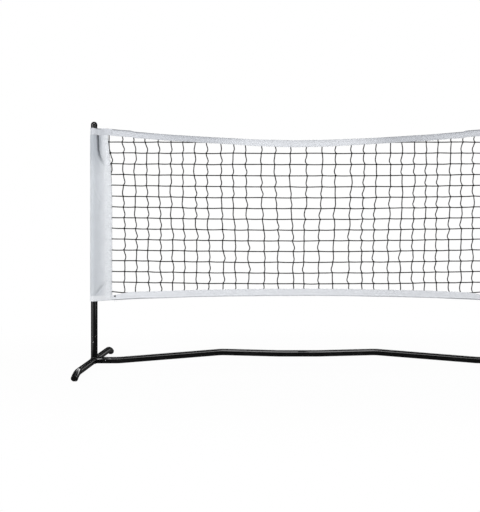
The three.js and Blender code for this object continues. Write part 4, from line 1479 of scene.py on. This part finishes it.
# %% The columns and rows
chance = random.Random(11)
MIDDLE_PITCH, MIDDLE_COLUMNS = 53.5 * mm, 7
OUTER_PITCH, OUTER_COLUMNS = 46.7 * mm, 8
ROWS = 14
ROW_SLACK = 7.5 * mm                  # how far the middle of a row hangs below its ends
LAST_ROW = 24 * mm                    # height of the last row over the hem
LAST_ROW_LIFT = 9 * mm                # how much higher it is beside the sleeves
LAST_ROW_BEND = (0.66, 0.70)          # distances from the middle over which it rises

right_half = [MIDDLE_PITCH * (i + 0.5) for i in range(MIDDLE_COLUMNS)]
right_half += [right_half[-1] + OUTER_PITCH * (i + 1) for i in range(OUTER_COLUMNS)]
COLUMNS = 2 * len(right_half)
print("columns from", round(right_half[0] * 1000), "to", round(right_half[-1] * 1000), "mm out")

# %% How the columns stray from their places
DRIFT = (0, 4, 4, 11, 7, 0, 1, 0, 1, -1, -2, -1, -3, -4, 0)    # mm outwards, column by column
LEAN, LEANING = 5.5 * mm, (0.45, 0.6)     # the top row pulls the outer columns outwards
SWING = 7.4 * mm                      # out above SWING_MIDDLE and in below it
SWING_REACH = 1.0                     # where the swing would fade out, beyond the posts
SWING_MIDDLE, SWING_LENGTH = 0.57, 0.72
FLAP_ENTRY = (0.13, 0.18)             # below the top, where the outermost column goes into the flap
EDGE_BESIDE = 2 * mm                  # how far beside the flap's edge it is above that
EDGE_INSIDE = 6 * mm                  # and how much further in below
JITTER_X, JITTER_Z = 1.8, 0.8         # mm, how far off its place a knot may be


def row_height(j, x):
    """Height of row j: the middle rows hang, and the last one is caught in the bottom tape."""
    if j == ROWS:
        return hem_edge(x) + LAST_ROW + LAST_ROW_LIFT * swell(abs(x), *LAST_ROW_BEND)
    return ROW_TOP - j * ROW_PITCH - ROW_SLACK * swell(j, -1, 5) * (1 - (x / NET_HALF) ** 2)


def column_place(n, j, z):
    """How far out column n of one side is at row j. The outermost goes into the sleeve's flap."""
    if n == len(right_half) - 1:
        inside = swell(SLEEVE_TOP - z, *FLAP_ENTRY)
        return POST_X - flap_at(z) - EDGE_BESIDE + EDGE_INSIDE * inside
    lean = LEAN * swell(right_half[n], *LEANING) if j == 0 else 0
    wave = math.sin(2 * math.pi * (z - SWING_MIDDLE) / SWING_LENGTH)
    swing = SWING * (1 - right_half[n] / SWING_REACH) * wave
    return right_half[n] + DRIFT[n] * mm + lean + swing


# %% Where the knots are
knots = {}
for i in range(COLUMNS):
    way = -1 if i < len(right_half) else 1
    n = i - len(right_half) if way > 0 else len(right_half) - 1 - i
    for j in range(ROWS + 1):
        z = row_height(j, right_half[n])
        x = way * column_place(n, j, z) + chance.uniform(-JITTER_X, JITTER_X) * mm
        knots[i, j] = Vector((x, 0, z + chance.uniform(-JITTER_Z, JITTER_Z) * mm))
print("net:", COLUMNS, "columns,", ROWS + 1, "rows")

# %% The strands
TUCK = 8 * mm                         # twine sewn into the tapes
TWINE, FLATNESS = 2.05 * mm, 0.63     # half width, and depth for that width
BOWS = (4.2, 3.6, 5.4, 2.4, 4.6, -2.2, 0.8)    # mm sideways between two knots, one at random
KNOT_CLEAR = 4 * mm                   # a strand leaves out a knot nearer to its end than this
ROW_END = 3 * mm                      # the rows end this far inside the net's outer edge


def net_top(x):
    return top_edge(x) - TOP_TAPE + TUCK


def net_bottom(x):
    return hem_edge(x) + BOTTOM_TAPE - TUCK


def strand_up(i):
    """Points down one upright strand, from the top tape through its knots to the bottom tape."""
    x = knots[i, ROWS // 2].x
    top, bottom = net_top(x), net_bottom(x)
    column = [knots[i, j] for j in range(ROWS + 1)]
    stops = [knot for knot in column if bottom + KNOT_CLEAR < knot.z < top - KNOT_CLEAR]
    stops = [Vector((stops[0].x, 0, top))] + stops + [Vector((stops[-1].x, 0, bottom))]
    points = []
    toward = 1 if x < 0 else -1       # most strands bow towards the middle of the net
    for a, b in zip(stops, stops[1:]):
        height = a.z - b.z
        bow = toward * chance.choice(BOWS) * mm * min(height / ROW_PITCH, 1)
        if i in (0, COLUMNS - 1):     # inside the flap the cloth holds the strand straight
            bow *= 1 - swell(SLEEVE_TOP - a.z, *FLAP_ENTRY)
        skew = chance.uniform(0.7, 1.7)
        count = max(round(8 * height / ROW_PITCH), 2)
        for k in range(count):
            t = k / count
            side = bow * math.sin(math.pi * t ** skew) * (1 - 0.25 * math.sin(2 * math.pi * t))
            depth = 0.5 * mm * noise.noise(Vector((x * 20, i, (a.z - height * t) * 30)))
            points.append(a.lerp(b, t) + Vector((side, depth, 0)))
    points.append(stops[-1])
    return points


def strand_along(j):
    """Points along one row, from sleeve to sleeve, in the runs that lie outside the top tape."""
    left, right = [Vector((way * (NET_HALF - ROW_END), 0, row_height(j, NET_HALF)))
                   for way in (-1, 1)]
    stops = [left] + [knots[i, j] for i in range(COLUMNS)] + [right]
    runs, run = [], []
    for a, b in zip(stops, stops[1:]):
        droop = chance.uniform(-0.2, 1.0) * mm
        for k in range(5):
            t = k / 5
            point = a.lerp(b, t) - Vector((0, 0, droop * math.sin(math.pi * t)))
            if net_bottom(point.x) < point.z < net_top(point.x):
                run.append(point)
            elif run:
                runs.append(run)
                run = []
    return runs + [run + [stops[-1]]]


def twine_radius(points):
    """Twine is never quite even: it swells and thins by a tenth."""
    return lambda i: TWINE * (1 + 0.1 * noise.noise(points[i] * 60))


def pull_flat(bm):
    """Twine under load spreads sideways: this flattens it towards the net's plane."""
    bmesh.ops.scale(bm, vec=(1, FLATNESS, 1), verts=bm.verts[:])


# %% Twine up and down, and along
shape = bmesh.new()
for i in range(COLUMNS):
    line = strand_up(i)
    thread_tube(shape, line, twine_radius(line), 6)
for way in (-1, 1):                   # the net's side edges, sewn inside the flaps
    heights = steps(net_top(NET_HALF), net_bottom(NET_HALF), 12)
    border = [Vector((way * NET_HALF, 0, z)) for z in heights]
    thread_tube(shape, border, twine_radius(border), 6)
pull_flat(shape)
close_ends(shape)
upright_twine = piece("upright_twine", shape, net_twine, "net_twine", "net", ["net_mesh"])

shape = bmesh.new()
for j in range(ROWS + 1):
    for line in strand_along(j):
        if len(line) > 2:
            thread_tube(shape, line, twine_radius(line), 6)
pull_flat(shape)
close_ends(shape)
level_twine = piece("level_twine", shape, net_twine, "net_twine", "net", ["net_mesh"])
print("twine faces:", len(upright_twine.data.polygons) + len(level_twine.data.polygons))

# %% [markdown]
# At each crossing the upright strand is tied round the row. From a distance a knot is a dark
# lump twice as wide as the twine, and close up it shows turns of twine. A ball would look like a
# bead, so each knot is two short turns wrapped over each other on the slant.

# %% Knots
KNOT_TURN = 2.9 * mm                  # from the knot's middle to the middle of a turn
KNOT_TWINE = 1.8 * mm                 # radius of the twine in the turn
KNOT_DEPTH = 1.0 * mm                 # how far a turn stands out of the net's plane


def knot_turn(shape, centre, slant, wide):
    """One turn of twine round the crossing, tilted by slant."""
    line = []
    for k in range(7):
        a = 2 * math.pi * k / 7
        along, out = math.cos(a) * wide, math.sin(a) * KNOT_DEPTH
        line.append(centre + Vector((along * math.cos(slant), out, along * math.sin(slant))))
    thread_tube(shape, line, lambda i: KNOT_TWINE, 4, closed=True,
                flat=(math.sin(slant), 0, -math.cos(slant)))


def clear_of_tapes(knot):
    return net_bottom(knot.x) + TUCK + mm < knot.z < net_top(knot.x) - TUCK - mm


shape = bmesh.new()
tied = [knots[key] for key in sorted(knots) if clear_of_tapes(knots[key])]
for knot in tied:
    tilt = chance.uniform(0.45, 0.95) * chance.choice((-1, 1))
    knot_turn(shape, knot, tilt, KNOT_TURN)
    knot_turn(shape, knot, tilt + math.pi / 2, KNOT_TURN * 0.8)
bmesh.ops.recalc_face_normals(shape, faces=shape.faces[:])
twine_knots = piece("twine_knots", shape, net_twine, "net_twine", "net", ["net_mesh"])
print("knots:", len(tied), "faces:", len(twine_knots.data.polygons))

# %% [markdown]
# Two short ends of sewing thread hang below each eyelet, where the tape's seam was locked off and
# trimmed. They are thin strands through a few points.

# %% Thread ends below the eyelets
THREAD_START = 5 * mm                 # where the ends start, above the hem
THREAD_DROP = 12 * mm                 # how far they hang from there
THREAD_END = 0.45 * mm                # radius, before it thins towards its tip
shape = bmesh.new()
for start, lean in ((-3.5 * mm, 3.5 * mm), (2 * mm, 4.5 * mm)):
    x = EYELET_X + start
    top = hem_edge(x) + THREAD_START
    line = [Vector((x + lean * (k / 6) ** 1.5,
                    -SLEEVE_GAP - CLOTH - 0.6 * mm * math.sin(k / 2),
                    top - THREAD_DROP * k / 6)) for k in range(7)]
    thread_tube(shape, line, lambda i: THREAD_END * (1 - 0.3 * i / 6), 5)
close_ends(shape)
pair("thread_ends", shape, sewing_thread, "tape_cloth", body="net")
print("thread ends: 4")

# %% [markdown]
# ## A sleeve's cut area
# Each sheet of cloth was cut to its grid's own size: the lengths of cloth round a post or over a
# cord, before any fold or crease. A sleeve's flap edge is curved, so its cut area is summed here.

STRIPS = 100                          # the flap's edge is curved, so a sleeve is summed in strips
heights = [HEM + (k + 0.5) / STRIPS * SLEEVE_LENGTH for k in range(STRIPS)]
halves = [half_width(SLEEVE_GAP, flap_at(height)) for height in heights]
SLEEVE_AREA = 2 * sum(halves) / STRIPS * SLEEVE_LENGTH
print(f"sheets: 6, a sleeve's cut area {SLEEVE_AREA:.4f} m2")
